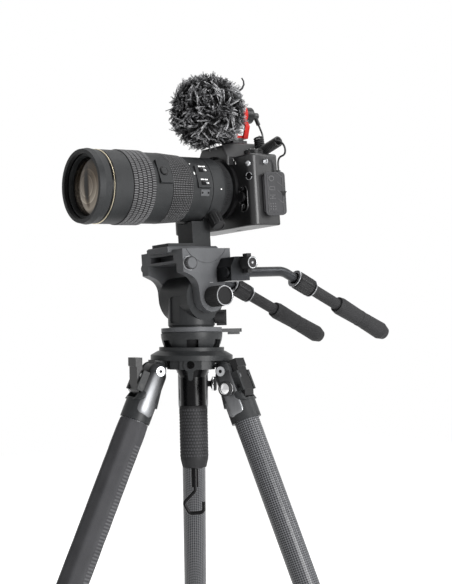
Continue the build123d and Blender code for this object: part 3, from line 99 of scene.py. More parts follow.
def rotated(degrees, axis):
    return Matrix.Rotation(math.radians(degrees), 4, axis)


def axis_of(base, axis):
    """The direction of a frame's own axis: 0 for x, 1 for y and 2 for z."""
    return base.to_3x3().col[axis].copy()


LEG_LENGTH = 640.0
SPLAY = math.radians(23.0)
PIVOT_HEIGHT = LEG_LENGTH * MM * math.cos(SPLAY)
PIVOT_RADIUS = 52.0 * MM
BALL_RISE = 45.0 * MM
LEAN = math.radians(2.2)
TILT_RISE = 42.0
NOSE_DOWN = 2.7
LENS_RISE = 134.0
column = axes_frame(
    (0, 0, PIVOT_HEIGHT + BALL_RISE),
    (math.cos(LEAN), 0, math.sin(LEAN)),
    (-math.sin(LEAN), 0, math.cos(LEAN)),
)
deck = along(column, z=TILT_RISE) @ rotated(NOSE_DOWN, "X")
lens_level = along(deck, z=LENS_RISE)
lens = lens_level @ rotated(-90.0, "X")


def leg_frame(bearing):
    turn = math.radians(bearing)
    out = Vector((math.cos(turn), math.sin(turn), 0))
    down = out * math.sin(SPLAY) - Vector((0, 0, math.cos(SPLAY)))
    return axes_frame(out * PIVOT_RADIUS + Vector((0, 0, PIVOT_HEIGHT)), (-out.y, out.x, 0), down)


legs = {"left": leg_frame(-98.0), "right": leg_frame(22.0), "rear": leg_frame(142.0)}
print("lens axis height:", round(lens_level.translation.z, 4))

# %% [markdown]
# The camera stands where the photographer stood: in front, to the left of the lens, and at about
# the height of the tripod's ball. The focal length comes from fitting the lens rim, the head and
# the legs to the picture together.

# %% Camera
EYE_X, EYE_Y, EYE_OVER_PIVOT = 1129.0, -829.0, 54.8
VIEW_BEARING = 52.0
FOCAL_PIXELS = 1148.0
PICTURE_HEIGHT = 584.0
HORIZON_SHIFT = 33.0
SENSOR = 36.0
eye = Vector((EYE_X, EYE_Y, EYE_OVER_PIVOT)) * MM + Vector((0, 0, PIVOT_HEIGHT))
view_rise = math.degrees(math.atan(HORIZON_SHIFT / FOCAL_PIXELS))
view = bpy.data.cameras.new("view")
view.sensor_width = SENSOR
view.lens = SENSOR * FOCAL_PIXELS / PICTURE_HEIGHT
view.clip_start = 0.05
viewer = show("viewer", view)
viewer.matrix_world = (
    Matrix.Translation(eye) @ rotated(VIEW_BEARING, "Z") @ rotated(90.0 + view_rise, "X")
)
scene.camera = viewer
scene.view_settings.view_transform = "Standard"
print("camera at", [round(c, 3) for c in eye])

# %% [markdown]
# Materials need few helpers. One turns an sRGB hex colour into the shader's linear numbers and one
# adds a node. The rest are short names for what the finishes share, such as noise of a real size.


# %% Colour and node helpers
def rgb(hex_code):
    parts = [int(hex_code[i : i + 2], 16) / 255 for i in (0, 2, 4)]
    return [c / 12.92 if c <= 0.04045 else ((c + 0.055) / 1.055) ** 2.4 for c in parts] + [1.0]


def feed(tree, node, sockets):
    """Links a socket to an input, or sets the input to a plain value."""
    for name, value in sockets.items():
        if isinstance(value, bpy.types.NodeSocket):
            tree.links.new(value, node.inputs[name])
        else:
            node.inputs[name].default_value = value


def add(tree, kind, sockets=None, **settings):
    made = tree.nodes.new(kind)
    for name, value in settings.items():
        setattr(made, name, value)
    feed(tree, made, sockets or {})
    return made


def maths(tree, operation, *values):
    return add(tree, "ShaderNodeMath", dict(enumerate(values)), operation=operation).outputs[0]


def length_of(tree, vector):
    return add(tree, "ShaderNodeVectorMath", {0: vector}, operation="LENGTH").outputs["Value"]


def speckle(tree, place, size_mm, detail=2.0):
    sockets = {"Vector": place, "Scale": 1 / (size_mm * MM), "Detail": detail}
    return add(tree, "ShaderNodeTexNoise", sockets).outputs["Fac"]


def spread(tree, value, low, high, start=0.0, end=1.0):
    """Carries a value from the range start to end into the range low to high."""
    sockets = {"Value": value, "From Min": start, "From Max": end, "To Min": low, "To Max": high}
    return add(tree, "ShaderNodeMapRange", sockets).outputs["Result"]


def ramp(tree, value, stops):
    made = add(tree, "ShaderNodeValToRGB", {"Fac": value})
    while len(made.color_ramp.elements) < len(stops):
        made.color_ramp.elements.new(0.5)
    for stop, (position, hex_code) in zip(made.color_ramp.elements, stops):
        stop.position = position
        stop.color = rgb(hex_code)
    return made.outputs["Color"]


def multiplied(tree, first, second):
    sockets = {"Factor": 1.0, "A": first, "B": second}
    made = add(tree, "ShaderNodeMix", sockets, data_type="RGBA", blend_type="MULTIPLY")
    return made.outputs["Result"]


def in_frame(tree, place, base):
    """The place in a frame's own coordinates."""
    back = base.inverted()
    sockets = {"Vector": place, "Location": back.translation, "Rotation": back.to_euler()}
    return add(tree, "ShaderNodeMapping", sockets).outputs["Vector"]


def plain_sight(tree):
    """1 for rays from the camera, a mirror or a glass, and 0 for light that falls on things."""
    path = add(tree, "ShaderNodeLightPath").outputs
    seen = maths(tree, "MAXIMUM", path["Is Camera Ray"], path["Is Transmission Ray"])
    return maths(tree, "MAXIMUM", seen, path["Is Glossy Ray"])


def new_material(name):
    material = bpy.data.materials.new(name)
    material.use_nodes = True
    tree = material.node_tree
    shader = tree.nodes["Principled BSDF"]
    place = add(tree, "ShaderNodeTexCoord").outputs["Object"]
    return material, tree, shader, place


# %% [markdown]
# Most of this object is lacquered or moulded: a nearly even dark colour, a fine grain that
# scatters light, and slow patches where hands have polished it. One finish function covers them,
# and each material gives its own real grain size in millimetres.

# %% Grained finishes
PATCH_SIZE = 30.0
PATCH_GLOSS = 0.07


def grained(name, dark, light, grain_mm, rough, bump_mm, metallic=0.0, coat=0.0, sheen=0.14):
    material, tree, shader, place = new_material(name)
    grain = speckle(tree, place, grain_mm, 3.0)
    patch = speckle(tree, place, PATCH_SIZE)
    mixed = maths(tree, "MULTIPLY_ADD", grain, 0.5, 0.25)
    both = maths(tree, "MULTIPLY_ADD", patch, 0.5, mixed)
    bump = {"Height": grain, "Distance": bump_mm * MM, "Strength": 0.6}
    sockets = {
        "Base Color": ramp(tree, both, [(0.45, dark), (0.85, light)]),
        "Roughness": spread(tree, patch, rough - PATCH_GLOSS, rough + PATCH_GLOSS),
        "Normal": add(tree, "ShaderNodeBump", bump).outputs["Normal"],
        "Metallic": metallic,
        "Coat Weight": coat,
        "Coat Roughness": 0.12,
        "Specular IOR Level": sheen,
    }
    feed(tree, shader, sockets)
    return material


# Crinkle lacquer: pebbled by the oven, so highlights are wide and sandy
crinkle_lacquer = grained("crinkle_lacquer", "151617", "2a2b2c", 0.9, 0.5, 0.28)
# Powder coat on the die-cast cradle: even charcoal with a soft satin
powder_charcoal = grained("powder_coat_charcoal", "393a3c", "515254", 0.7, 0.42, 0.06)
# Powder coat on the trunk and the shoulder: the same, darker
powder_black = grained("powder_coat_black", "191a1b", "2a2b2c", 0.7, 0.38, 0.06)
# Moulded ABS of the camera: a leathery grain of about a millimetre
abs_black = grained("moulded_abs_black", "0d0d0e", "1d1d1e", 0.8, 0.32, 0.05, sheen=0.36)
# Smooth ABS for knobs and levers
abs_smooth = grained("smooth_abs_black", "09090a", "151516", 0.5, 0.3, 0.02, sheen=0.2)
# Moulded rubber: dull, with a faint bloom
moulded_rubber = grained("moulded_rubber", "161617", "272728", 0.6, 0.6, 0.05)
# Raised rubber of the lens rings and the port cover, painted paler: a painted highlight on the
# raised tops
worn_rubber = grained("worn_rubber", "3c3c3d", "5a5a5b", 0.6, 0.55, 0.04)
# Floors between the ribs, sunken faces and hollows, painted near black: painted shade
deep_rubber = grained("deep_rubber", "09090a", "131314", 0.6, 0.6, 0.04)
# Grey rubber of the port cover and of the column grip's studs
port_rubber = grained("port_cover_rubber", "2a2a2b", "3e3e40", 0.6, 0.6, 0.08)
# Closed-cell foam sleeve: tiny open skin cells
closed_foam = grained("closed_cell_foam", "29292b", "3d3d3f", 0.8, 0.72, 0.14)
# Moulded ribs of the sleeve: the same foam, painted paler as a painted highlight on the ribs
rubbed_foam = grained("rubbed_foam", "3d3d3f", "525254", 0.8, 0.7, 0.12)
# Satin anodised aluminium: bead-blasted, so it glows without a sharp image
satin_aluminium = grained("satin_aluminium", "86878a", "a9aaac", 0.4, 0.36, 0.02, metallic=1.0)
# Polished steel: a clear image with faint wipe marks
polished_steel = grained("polished_steel", "a9a9aa", "c6c6c7", 1.5, 0.16, 0.004, metallic=1.0)
# Black lacquer over metal: the sliding column, as deep as a piano lid
gloss_lacquer = grained("gloss_black_lacquer", "050506", "0c0c0d", 2.0, 0.24, 0.004, sheen=0.1)
# Machined arms of the pan handles: anodised a dark grey, turned and then blasted
gunmetal = grained("anodised_gunmetal", "212223", "353638", 0.5, 0.36, 0.02, metallic=1.0)
# Gilt ring of the lens: a thin foil of warm metal
gilt = grained("gilt_ring", "b5a78a", "ddd2b8", 0.6, 0.3, 0.01, metallic=1.0)
# White index paint in engraved marks
index_paint = grained("white_index_paint", "d4d4d2", "f2f2f0", 0.5, 0.6, 0.01)
# Red glass-filled nylon of the shock mount
red_nylon = grained("red_nylon", "7a1815", "a8241f", 1.2, 0.42, 0.03)
# Soft PVC jacket of the cable
pvc_jacket = grained("pvc_jacket", "0c0c0d", "1b1b1c", 0.6, 0.4, 0.02, sheen=0.3)
# Tinted plastic over the rear display
display_plastic = grained("display_plastic", "0a0b0d", "131519", 4.0, 0.12, 0.002, coat=0.4)
print("grained finishes:", len(bpy.data.materials))

# %% [markdown]
# Carbon tube is a twill of black tows under clear resin. The eye sees small shiny lozenges that
# change with the light, so the weave is drawn round the tube's own axis: the angle gives one
# thread direction, the length along the leg gives the other, and a coat lies over both.

# %% Carbon tube, one material per leg because each has its own axis
# Tows are about 1.5 mm wide in truth, drawn wider so that they show at this distance
TOW = 2.6 * MM
WEAVE_RADIUS = 14.0 * MM


def carbon(name, leg):
    material, tree, shader, place = new_material(name)
    local = add(tree, "ShaderNodeSeparateXYZ", {"Vector": in_frame(tree, place, leg)}).outputs
    angle = maths(tree, "ARCTAN2", local["Y"], local["X"])
    around = maths(tree, "MULTIPLY", angle, WEAVE_RADIUS / TOW)
    length = maths(tree, "MULTIPLY", local["Z"], 1 / TOW)
    threads = {
        "X": maths(tree, "ADD", around, length),
        "Y": maths(tree, "SUBTRACT", length, around),
    }
    pair = add(tree, "ShaderNodeCombineXYZ", threads).outputs["Vector"]
    # The pale checks are painted sheen: the tows themselves are black, and only their shine is
    # pale.
    check = {"Vector": pair, "Scale": 1.0, "Color1": rgb("161618"), "Color2": rgb("5a5b5e")}
    sockets = {
        "Base Color": add(tree, "ShaderNodeTexChecker", check).outputs["Color"],
        "Roughness": spread(tree, speckle(tree, place, 12.0), 0.3, 0.42),
        "Coat Weight": 0.15,
        "Coat Roughness": 0.15,
        "Specular IOR Level": 0.2,
    }
    feed(tree, shader, sockets)
    return material


carbon_tubes = {name: carbon("carbon_twill_" + name, leg) for name, leg in legs.items()}
print("carbon materials:", len(carbon_tubes))

# %% [markdown]
# The front glass is coated, so it gives back a warm grey sheen instead of a white glare. That sheen
# is a painted reflection in the glass's colour, and the edges of the elements behind it are painted
# as thin bright rings, with painted shade towards the rim. A dark almond down the middle is painted
# shade for the view into the barrel, and the top is painted darker for the rim's shade. The three
# patterns are multiplied.

# %% Coated glass
GLASS_RADIUS = 34.4
coated_glass, tree, shader, place = new_material("coated_optical_glass")
on_glass = in_frame(tree, place, lens)


def lens_distance(across_mm, down_mm):
    """How far a point lies from the lens axis, as a share of an oval of these half sizes."""
    share = (1 / (across_mm * MM), 1 / (down_mm * MM), 0)
    scaled = add(tree, "ShaderNodeVectorMath", {0: on_glass, 1: share}, operation="MULTIPLY")
    return length_of(tree, scaled.outputs["Vector"])


# Painted reflection: a warm grey sheen with thin bright rings for the element edges, and painted
# shade towards the rim.
painted_glass_reflection_stops = [
    (0.0, "8f867b"), (0.34, "887f74"), (0.36, "b9b0a3"), (0.385, "756c62"), (0.55, "948b7f"),
    (0.57, "b7aea1"), (0.60, "7a7167"), (0.78, "8e8579"), (0.90, "4f4943"), (1.0, "1d1a18"),
]
# Painted shade: the dark almond of the view into the barrel.
painted_barrel_shade_stops = [(0.0, "0b0a0a"), (0.5, "2a2724"), (0.85, "b4aca1"), (1.0, "ffffff")]
# Painted shade over the top of the glass, under the rim.
shade_stops = [(0.0, "3f3b37"), (0.35, "9c948a"), (0.7, "ffffff")]
drop = add(tree, "ShaderNodeSeparateXYZ", {"Vector": on_glass}).outputs["Y"]
top_to_foot = spread(tree, drop, 0.0, 1.0, -GLASS_RADIUS * MM, GLASS_RADIUS * MM)
rings = ramp(tree, lens_distance(GLASS_RADIUS, GLASS_RADIUS), painted_glass_reflection_stops)
painted_barrel_shade = ramp(tree, lens_distance(6.5, 27.0), painted_barrel_shade_stops)
shade = ramp(tree, top_to_foot, shade_stops)
sockets = {
    "Base Color": multiplied(tree, multiplied(tree, rings, painted_barrel_shade), shade),
    "Roughness": spread(tree, speckle(tree, on_glass, 25.0), 0.04, 0.12),
    "Metallic": 0.6,
    "Specular IOR Level": 0.3,
}
feed(tree, shader, sockets)
print("glass stops:", len(painted_glass_reflection_stops))

# %% [markdown]
# The windscreen is long synthetic fur. Each fibre is dark at its root and paler at its tip: painted
# shade deep in the pile and a painted highlight at the tips. The pile falls into clumps. The
# distance from the ball's middle tells root from tip, and a slow noise parts the clumps. Underwool,
# guard hair and pale tips differ only in their greys, which makes them shaded, middle and lit
# copies of one fur.

# %% Fur fibre
BALL_AT = along(lens_level, y=43.0, z=98.0)
FUR_ROOT = 37.0
FUR_TIP = 50.0


def fur(name, stops):
    material, tree, shader, place = new_material(name)
    reach = length_of(tree, in_frame(tree, place, BALL_AT))
    tip = spread(tree, reach, 0.0, 1.0, FUR_ROOT * MM, FUR_TIP * MM)
    lit = maths(tree, "MULTIPLY_ADD", speckle(tree, place, 2.2), 1.1, -0.55)
    tone = ramp(tree, maths(tree, "ADD", tip, lit), stops)
    feed(tree, shader, {"Base Color": tone, "Roughness": 0.5, "Specular IOR Level": 0.2})
    return material


# Each ramp paints shade at the root and light at the tip. The dark set is a shaded copy and the
# pale set a lit copy.
shaded_fur_stops = [(0.1, "060606"), (0.6, "141415"), (1.0, "303032")]
mid_stops = [(0.1, "0a0a0a"), (0.5, "2a2a2b"), (0.8, "5e5e60"), (1.0, "8e8e90")]
lit_fur_stops = [(0.1, "101010"), (0.45, "4a4a4c"), (0.75, "9c9c9e"), (1.0, "d0d0d2")]
dark_fur = fur("fur_underwool", shaded_fur_stops)
mid_fur = fur("fur_guard_hair", mid_stops)
pale_fur = fur("fur_pale_tips", lit_fur_stops)
print("fur materials: 3")

# %% [markdown]
# Now the CAD pieces get their finishes. Their shapes are already right, so each keeps its mesh
# and only its material changes. A list by finish reads more easily than one by piece.

# %% Finishes of the CAD pieces
leg_names = list(legs)
dark_castings = ["head_trunk", "shoulder_casting", "levelling_bowl", "levelling_liner"]
ringed = [n for n in nodes if n.endswith(("_latch", "_collar")) and n != "lens_collar"]
gripped = ["column_grip"] + [n for n in nodes if n.endswith(("_grip", "_knob"))]
finish_of = {}
for finish, names in (
    (crinkle_lacquer, ["lens_barrel", "lens_collar"]),
    # The focus and zoom rings' own rubber, between the ribs, is painted near black: painted shade.
    (deep_rubber, ["focus_ring", "zoom_ring"]),
    (coated_glass, ["front_element"]),
    (powder_charcoal, ["tilt_cradle", "camera_plate", "pan_base"]),
    (powder_black, dark_castings + ["pan_lever"] + [n + "_leg_yoke" for n in leg_names]),
    (abs_black, ["camera_body", "shoe_foot", "cable_plugs"]),
    (gloss_lacquer, ["weight_hook", "levelling_column"]),
    (gunmetal, ["near_handle_arm", "far_handle_arm"]),
    (abs_smooth, ["mode_dial", "shutter_button", "release_button", "mic_body"] + ringed),
    (red_nylon, ["shock_mount"]),
    (moulded_rubber, gripped),
    (satin_aluminium, ["leg_pivot_bolts"]),
    (port_rubber, ["port_cover"]),
    (display_plastic, ["rear_screen"]),
    (dark_fur, ["windscreen"]),
    (closed_foam, ["left_leg_foam"]),
    (pvc_jacket, ["mic_cable"]),
):
    for name in names:
        finish_of[name] = finish
for name in leg_names:
    for part in ("_leg_tube", "_leg_lower"):
        finish_of[name + part] = carbon_tubes[name]
for name, node in nodes.items():
    node.data.materials.clear()
    node.data.materials.append(finish_of.get(name, powder_black))
print("left to the default finish:", sorted(set(nodes) - set(finish_of)))

# %% [markdown]
# A few small makers build every added piece. A lathe spins a profile of radius and height, a block
# is a bevelled cube, a disc is a bevelled cylinder and a tube follows points. `place` then puts
# the finished mesh on its body, with smooth shading that breaks at real edges.

# %% Makers
MERGE_GAP = 1e-7
SHARP_ANGLE = math.radians(35.0)


def lathe(bm, profile, base, steps=48):
    points = [bm.verts.new(base @ Vector((r * MM, 0, z * MM))) for r, z in profile]
    edges = [bm.edges.new(pair) for pair in zip(points, points[1:])]
    bmesh.ops.spin(
        bm,
        geom=points + edges,
        cent=base.translation,
        axis=axis_of(base, 2),
        angle=math.tau,
        steps=steps,
        use_merge=True,
    )


def soften(bm, edges, soft, segments):
    size = {"offset": soft * MM, "segments": segments, "profile": 0.5}
    bmesh.ops.bevel(bm, geom=edges, affect="EDGES", material=-1, **size)


def block(bm, base, size, soft=0.4, segments=2):
    shape = base @ Matrix.Diagonal([s * MM for s in size] + [1])
    verts = bmesh.ops.create_cube(bm, size=1, matrix=shape)["verts"]
    soften(bm, list({e for v in verts for e in v.link_edges}), soft, segments)


def disc(bm, base, radius, height, soft=0.3, segments=32):
    """A bevelled cylinder that starts at base and grows along its z."""
    verts = bmesh.ops.create_cone(
        bm,
        cap_ends=True,
        segments=segments,
        radius1=radius * MM,
        radius2=radius * MM,
        depth=height * MM,
        matrix=along(base, z=height / 2),
    )["verts"]
    edges = {e for v in verts for e in v.link_edges}
    soften(bm, [e for e in edges if any(len(f.verts) > 4 for f in e.link_faces)], soft, 2)


def tube(bm, points, radius, up, sides=6, closed=False, taper=1.0):
    """A round tube along points that lie about in one plane, whose normal is up."""
    rings = []
    for i, point in enumerate(points):
        ahead = points[(i + 1) % len(points)] if closed or i + 1 < len(points) else point
        behind = points[i - 1] if closed or i else point
        side = (ahead - behind).cross(up).normalized()
        size = radius * MM * (1 + (taper - 1) * i / len(points))
        turns = [math.tau * n / sides for n in range(sides)]
        spokes = [side * math.cos(t) + up * math.sin(t) for t in turns]
        rings.append([bm.verts.new(point + spoke * size) for spoke in spokes])
    pairs = list(zip(rings, rings[1:])) + ([(rings[-1], rings[0])] if closed else [])
    for low, high in pairs:
        for n in range(sides):
            bm.faces.new((low[n], low[(n + 1) % sides], high[(n + 1) % sides], high[n]))
    if not closed:
        bm.faces.new(rings[0])
        bm.faces.new(reversed(rings[-1]))


def put(name, mesh, body, material):
    mesh.materials.clear()
    mesh.materials.append(material)
    made = show(name, mesh)
    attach(made, body)
    print(name, "faces:", len(mesh.polygons))
    return made


def place(name, bm, body, material, slot):
    bmesh.ops.remove_doubles(bm, verts=bm.verts, dist=MERGE_GAP)
    bmesh.ops.recalc_face_normals(bm, faces=bm.faces)
    mesh = bpy.data.meshes.new(name)
    bm.to_mesh(mesh)
    bm.free()
    mesh.shade_smooth()
    mesh.set_sharp_from_angle(angle=SHARP_ANGLE)
    return put(name, mesh, body, material)


def spun(name, profile, base, steps, body, material, slot):
    """A piece that is one turned profile."""
    bm = bmesh.new()
    lathe(bm, profile, base, steps)
    place(name, bm, body, material, slot)


def turned(base, angle, radius=0.0):
    """A frame on a round surface: x points outwards at the angle, z stays along the axis."""
    return along(base @ rotated(angle, "Z"), radius)


# %% [markdown]
# The microphone's cable is a curly cord: a lead from the microphone, a row of tight curls that
# hang in a V under their own weight, and a lead that arcs out to the plug behind the port cover.
# The route is a NURBS curve near the CAD cable's own. The curls are then wound round points that
# are read back from it, and they are part of the cord's own spline.


# %% Route of the curls
def nurbs(name, points):
    curve = bpy.data.curves.new(name, "CURVE")
    curve.dimensions = "3D"
    spline = curve.splines.new("NURBS")
    spline.points.add(len(points) - 1)
    for spot, point in zip(spline.points, points):
        spot.co = (*point, 1)
    spline.order_u = 3
    spline.use_endpoint_u = True
    return curve


def read_back(curve, resolution):
    curve.resolution_u = resolution
    guide = bpy.data.objects.new(curve.name + "_guide", curve)
    mesh = bpy.data.meshes.new_from_object(guide)
    points = [v.co.copy() for v in mesh.vertices]
    bpy.data.objects.remove(guide)
    bpy.data.meshes.remove(mesh)
    return points


def on_level(x, y, z):
    return lens_level @ Vector((x * MM, y * MM, z * MM))


CURL_Y = 94.0
CURL_V = ((35.2, 63.0), (36.6, 52.0), (37.4, 44.0), (45.6, 45.6), (73.0, 52.4))
axis_points = read_back(nurbs("curl_route", [on_level(x, CURL_Y, z) for x, z in CURL_V]), 40)
travel = [0.0]
for a, b in zip(axis_points, axis_points[1:]):
    travel.append(travel[-1] + (b - a).length)
print("curl axis length:", round(travel[-1], 4))

# %% [markdown]
# The winding walks along the route at an even pace. At each step it stands one curl radius away
# from the route, turned a little further round it than the step before.

# %% Wind the curls and lay the cord
CURL_RADIUS = 5.5 * MM
CURLS = 20.5
STEPS = 16
CORD_DIAMETER = 2.4 * MM
FROM_MICROPHONE = (
    (4.4, 121.5, 85.6), (5.1, 121.8, 83.5), (9.5, 123.5, 71.0), (20.0, 112.0, 66.5),
    (28.0, 100.0, 66.5),
)
TO_PLUG = (
    (81.0, 90.0, 51.0), (87.0, 91.5, 43.0), (84.0, 93.5, 34.0), (71.5, 94.4, 33.0),
    (68.6, 94.4, 27.0), (68.6, 94.4, 19.5), (68.6, 94.4, 17.3),
)
curl_normal = axis_of(lens_level, 1).normalized()


def on_axis(share):
    goal = share * travel[-1]
    for i in range(len(travel) - 1):
        if travel[i + 1] >= goal or i == len(travel) - 2:
            step = (goal - travel[i]) / (travel[i + 1] - travel[i])
            heading = (axis_points[i + 1] - axis_points[i]).normalized()
            return axis_points[i].lerp(axis_points[i + 1], step), heading


cord_points = [on_level(*point) for point in FROM_MICROPHONE]
for n in range(int(CURLS * STEPS) + 1):
    spot, heading = on_axis(n / (CURLS * STEPS))
    side = heading.cross(-curl_normal)
    swing = math.pi + math.tau * n / STEPS
    spoke = side * math.sin(swing) - curl_normal * math.cos(swing)
    cord_points.append(spot + spoke * CURL_RADIUS)
cord_points += [on_level(*point) for point in TO_PLUG]
cord_curve = nurbs("curly_cable", cord_points)
cord_line = read_back(cord_curve, 6)
cord_curve.bevel_depth = CORD_DIAMETER / 2
cord_curve.bevel_resolution = 3
cord_curve.use_fill_caps = True
cord_curve.materials.append(pvc_jacket)
curly_cable = show("curly_cable", cord_curve)
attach(curly_cable, "camera")
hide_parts("mic_cable")

# %% [markdown]
# The furry windscreen is what makes this rig easy to recognise. A core ball stands for the foam,
# and four sets of tapered locks grow from it. A slow swirl over the ball tells each lock which way
# to lie, so the pile parts into tufts, as brushed fur does. The fibres are curves first, because a
# curve tapers by itself, and are made meshes at the end. The underside is pressed flat over the
# camera, and one stray lock curls up beside the ball.

# %% Windscreen core and fibres
FIBRES_PER_LOCK = 5
FIBRE_STEPS = 5
FLAT_BEHIND = 2.0
FLAT_AT = -36.0
# noise_vector starts from the clock unless it is given a seed
noise.seed_set(1)


def shaken(draw):
    return Vector([draw.uniform(-1, 1) for _ in range(3)])


def fur_set(name, seed, material, locks, root, low, high, lean, thick):
    draw = random.Random(seed)
    curve = bpy.data.curves.new(name, "CURVE")
    curve.dimensions = "3D"
    curve.bevel_depth = MM
    curve.bevel_resolution = 0
    for _ in range(locks):
        out = Vector([draw.gauss(0, 1) for _ in range(3)]).normalized()
        flow = noise.noise_vector(out * 2.6 + Vector((seed, 0, 0))).cross(out).normalized()
        flow += 0.5 * shaken(draw)
        reach = draw.uniform(low, high)
        slant = draw.uniform(0.6, 1.2) * lean
        for _ in range(FIBRES_PER_LOCK):
            foot = out * root + 2.2 * shaken(draw)
            end = out * reach + flow * slant + 0.9 * shaken(draw)
            bow = flow * slant * draw.uniform(-0.35, 0.1)
            spline = curve.splines.new("POLY")
            spline.points.add(FIBRE_STEPS)
            for step, spot in enumerate(spline.points):
                share = step / FIBRE_STEPS
                point = foot.lerp(end, share) + bow * (4 * share * (1 - share))
                point = point.normalized() * (root + (reach - root) * share)
                if point.y > FLAT_BEHIND and point.z < FLAT_AT:
                    point.z = FLAT_AT + 0.05 * (point.z - FLAT_AT)
                spot.co = (*(BALL_AT @ (point * MM)), 1)
                spot.radius = thick * (1 - 0.75 * share)
    holder = bpy.data.objects.new(name + "_curve", curve)
    mesh = bpy.data.meshes.new_from_object(holder)
    bpy.data.objects.remove(holder)
    mesh.name = name
    put(name, mesh, "camera", material)


bm = bmesh.new()
bmesh.ops.create_icosphere(bm, subdivisions=5, radius=FUR_ROOT * MM)
for vert in bm.verts:
    vert.co *= 1 + 0.06 * noise.noise(vert.co * 160)
    if vert.co.y > FLAT_BEHIND * MM:
        vert.co.z = max(vert.co.z, (FLAT_AT + 1.0) * MM)
bmesh.ops.transform(bm, matrix=BALL_AT, verts=bm.verts)
fur_core = place("windscreen_core", bm, "camera", dark_fur, "fur")
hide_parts("windscreen")
fur_set("windscreen_underwool", 11, dark_fur, 700, 35.0, 42.0, 46.0, 9.0, 0.6)
fur_set("windscreen_guard_hair", 12, mid_fur, 760, 36.0, 44.0, 49.0, 13.0, 0.52)
fur_set("windscreen_pale_tips", 13, pale_fur, 520, 38.0, 45.0, 50.0, 14.0, 0.48)
fur_set("windscreen_spikes", 14, mid_fur, 260, 38.0, 48.5, 53.0, 7.0, 0.45)
bm = bmesh.new()
sideways, upwards, backwards = [axis_of(viewer.matrix_world, n) for n in range(3)]
STRAY = ((28, 24), (34, 25), (39, 26.5), (43.2, 29.8), (45.4, 34.6), (45, 39), (42.6, 43))
stray = [BALL_AT.translation + (sideways * a + upwards * b) * MM for a, b in STRAY]
tube(bm, stray, 1.7, backwards, taper=0.4)
place("windscreen_stray_lock", bm, "camera", dark_fur, "fur")

# %% [markdown]
# Moulded detail on the lens comes in rings. Ribs and studs are one small bevelled block that is
# set many times round the axis, each on its own turned frame.


# %% Lens rings: gilt band, ribs, studs and index marks
def round_blocks(bm, base, count, radius, z, size, soft, offset=0.0):
    for n in range(count):
        block(bm, along(turned(base, 360.0 * n / count + offset, radius), z=z), size, soft, 1)


GILT = (
    (40.8, -128.6), (43.1, -128.6), (43.4, -128.4), (43.4, -128.1), (43.1, -127.9), (40.8, -127.9)
)
GROOVE = ((41.4, -131.0), (42.6, -130.6), (42.9, -129.6), (42.6, -128.7), (41.4, -128.6))
spun("lens_gilt_ring", GILT, lens, 96, "camera", gilt, "satin_metal")
# The groove is a black gloss band: painted shade in the gap between the rim and the gilt ring.
spun("lens_ring_groove", GROOVE, lens, 96, "camera", gloss_lacquer, "black_gloss")

LANES, LANE_START, LANE_STEP = 5, -99.2, 6.2
RIB_COUNT, RIB_RADIUS = 96, 43.5
bm = bmesh.new()
for lane in range(LANES):
    z = LANE_START + LANE_STEP * lane
    shift = 1.9 * (lane % 2)
    round_blocks(bm, lens, RIB_COUNT, RIB_RADIUS, z, (1.7, 1.75, 5.2), 0.35, shift)
# The ribs are painted paler than the ring: a painted highlight on their tops.
place("focus_ring_ribs", bm, "focus_ring", worn_rubber, "black_rubber")

STUD_ROWS, STUD_START, STUD_STEP, STUD_COUNT = 12, -45.0, 2.55, 96
ZOOM_FRONT, ZOOM_LENGTH, ZOOM_RADIUS, ZOOM_TAPER = -47.0, 32.0, 42.2, 2.0
bm = bmesh.new()
for row in range(STUD_ROWS):
    z = STUD_START + STUD_STEP * row
    reach = ZOOM_RADIUS - ZOOM_TAPER * (z - ZOOM_FRONT) / ZOOM_LENGTH
    round_blocks(bm, lens, STUD_COUNT, reach, z, (1.0, 1.6, 1.5), 0.3)
# The studs are painted paler than the ring: a painted highlight on their tops.
place("zoom_ring_studs", bm, "zoom_ring", worn_rubber, "black_rubber")

bm = bmesh.new()
round_blocks(bm, lens, 110, 36.9, 39.6, (1.2, 1.0, 9.0), 0.25)
place("mount_ring_ribs", bm, "camera", moulded_rubber, "black_plastic")

bm = bmesh.new()
for angle, z, width, length in ((-21.0, -11.4, 3.2, 1.4), (-42.0, -12.0, 1.6, 1.2)):
    block(bm, along(turned(lens, angle, 39.75), z=z), (0.5, width, length), 0.1, 1)
place("zoom_index_marks", bm, "camera", index_paint, "satin_metal")

# %% [markdown]
# The lens carries one round focus button on a raised pad, and a flat pad with two slider switches
# and a small screwed plate beside it. A slider is a well painted black as painted shade, a grey
# knob and a few white dashes.


# %% Lens controls
def facing_out(base):
    """Turns a frame so that its z points along the old x, outwards."""
    return base @ rotated(90.0, "Y")


bm = bmesh.new()
button_at = facing_out(along(turned(lens, -20.0, 43.8), z=-58.0))
lathe(bm, [(5.0, 0.0), (5.2, 0.3), (5.9, 0.3), (6.1, 0.0)], button_at, 40)
lathe(bm, [(3.9, 1.4), (4.1, 1.55), (4.5, 1.55), (4.7, 1.4)], button_at, 40)
# The two black rings stand for grooves round and on the button: painted shade.
place("lens_focus_button_rings", bm, "camera", gloss_lacquer, "black_gloss")

SWITCHES = (-8.4, 8.4)
PLATE_TURN = 13.0
pad = turned(lens, -15.0, 40.5)
bm = bmesh.new()
for off in SWITCHES:
    block(bm, along(pad, y=off, z=1.6), (0.5, 5.4, 12.0), 0.1)
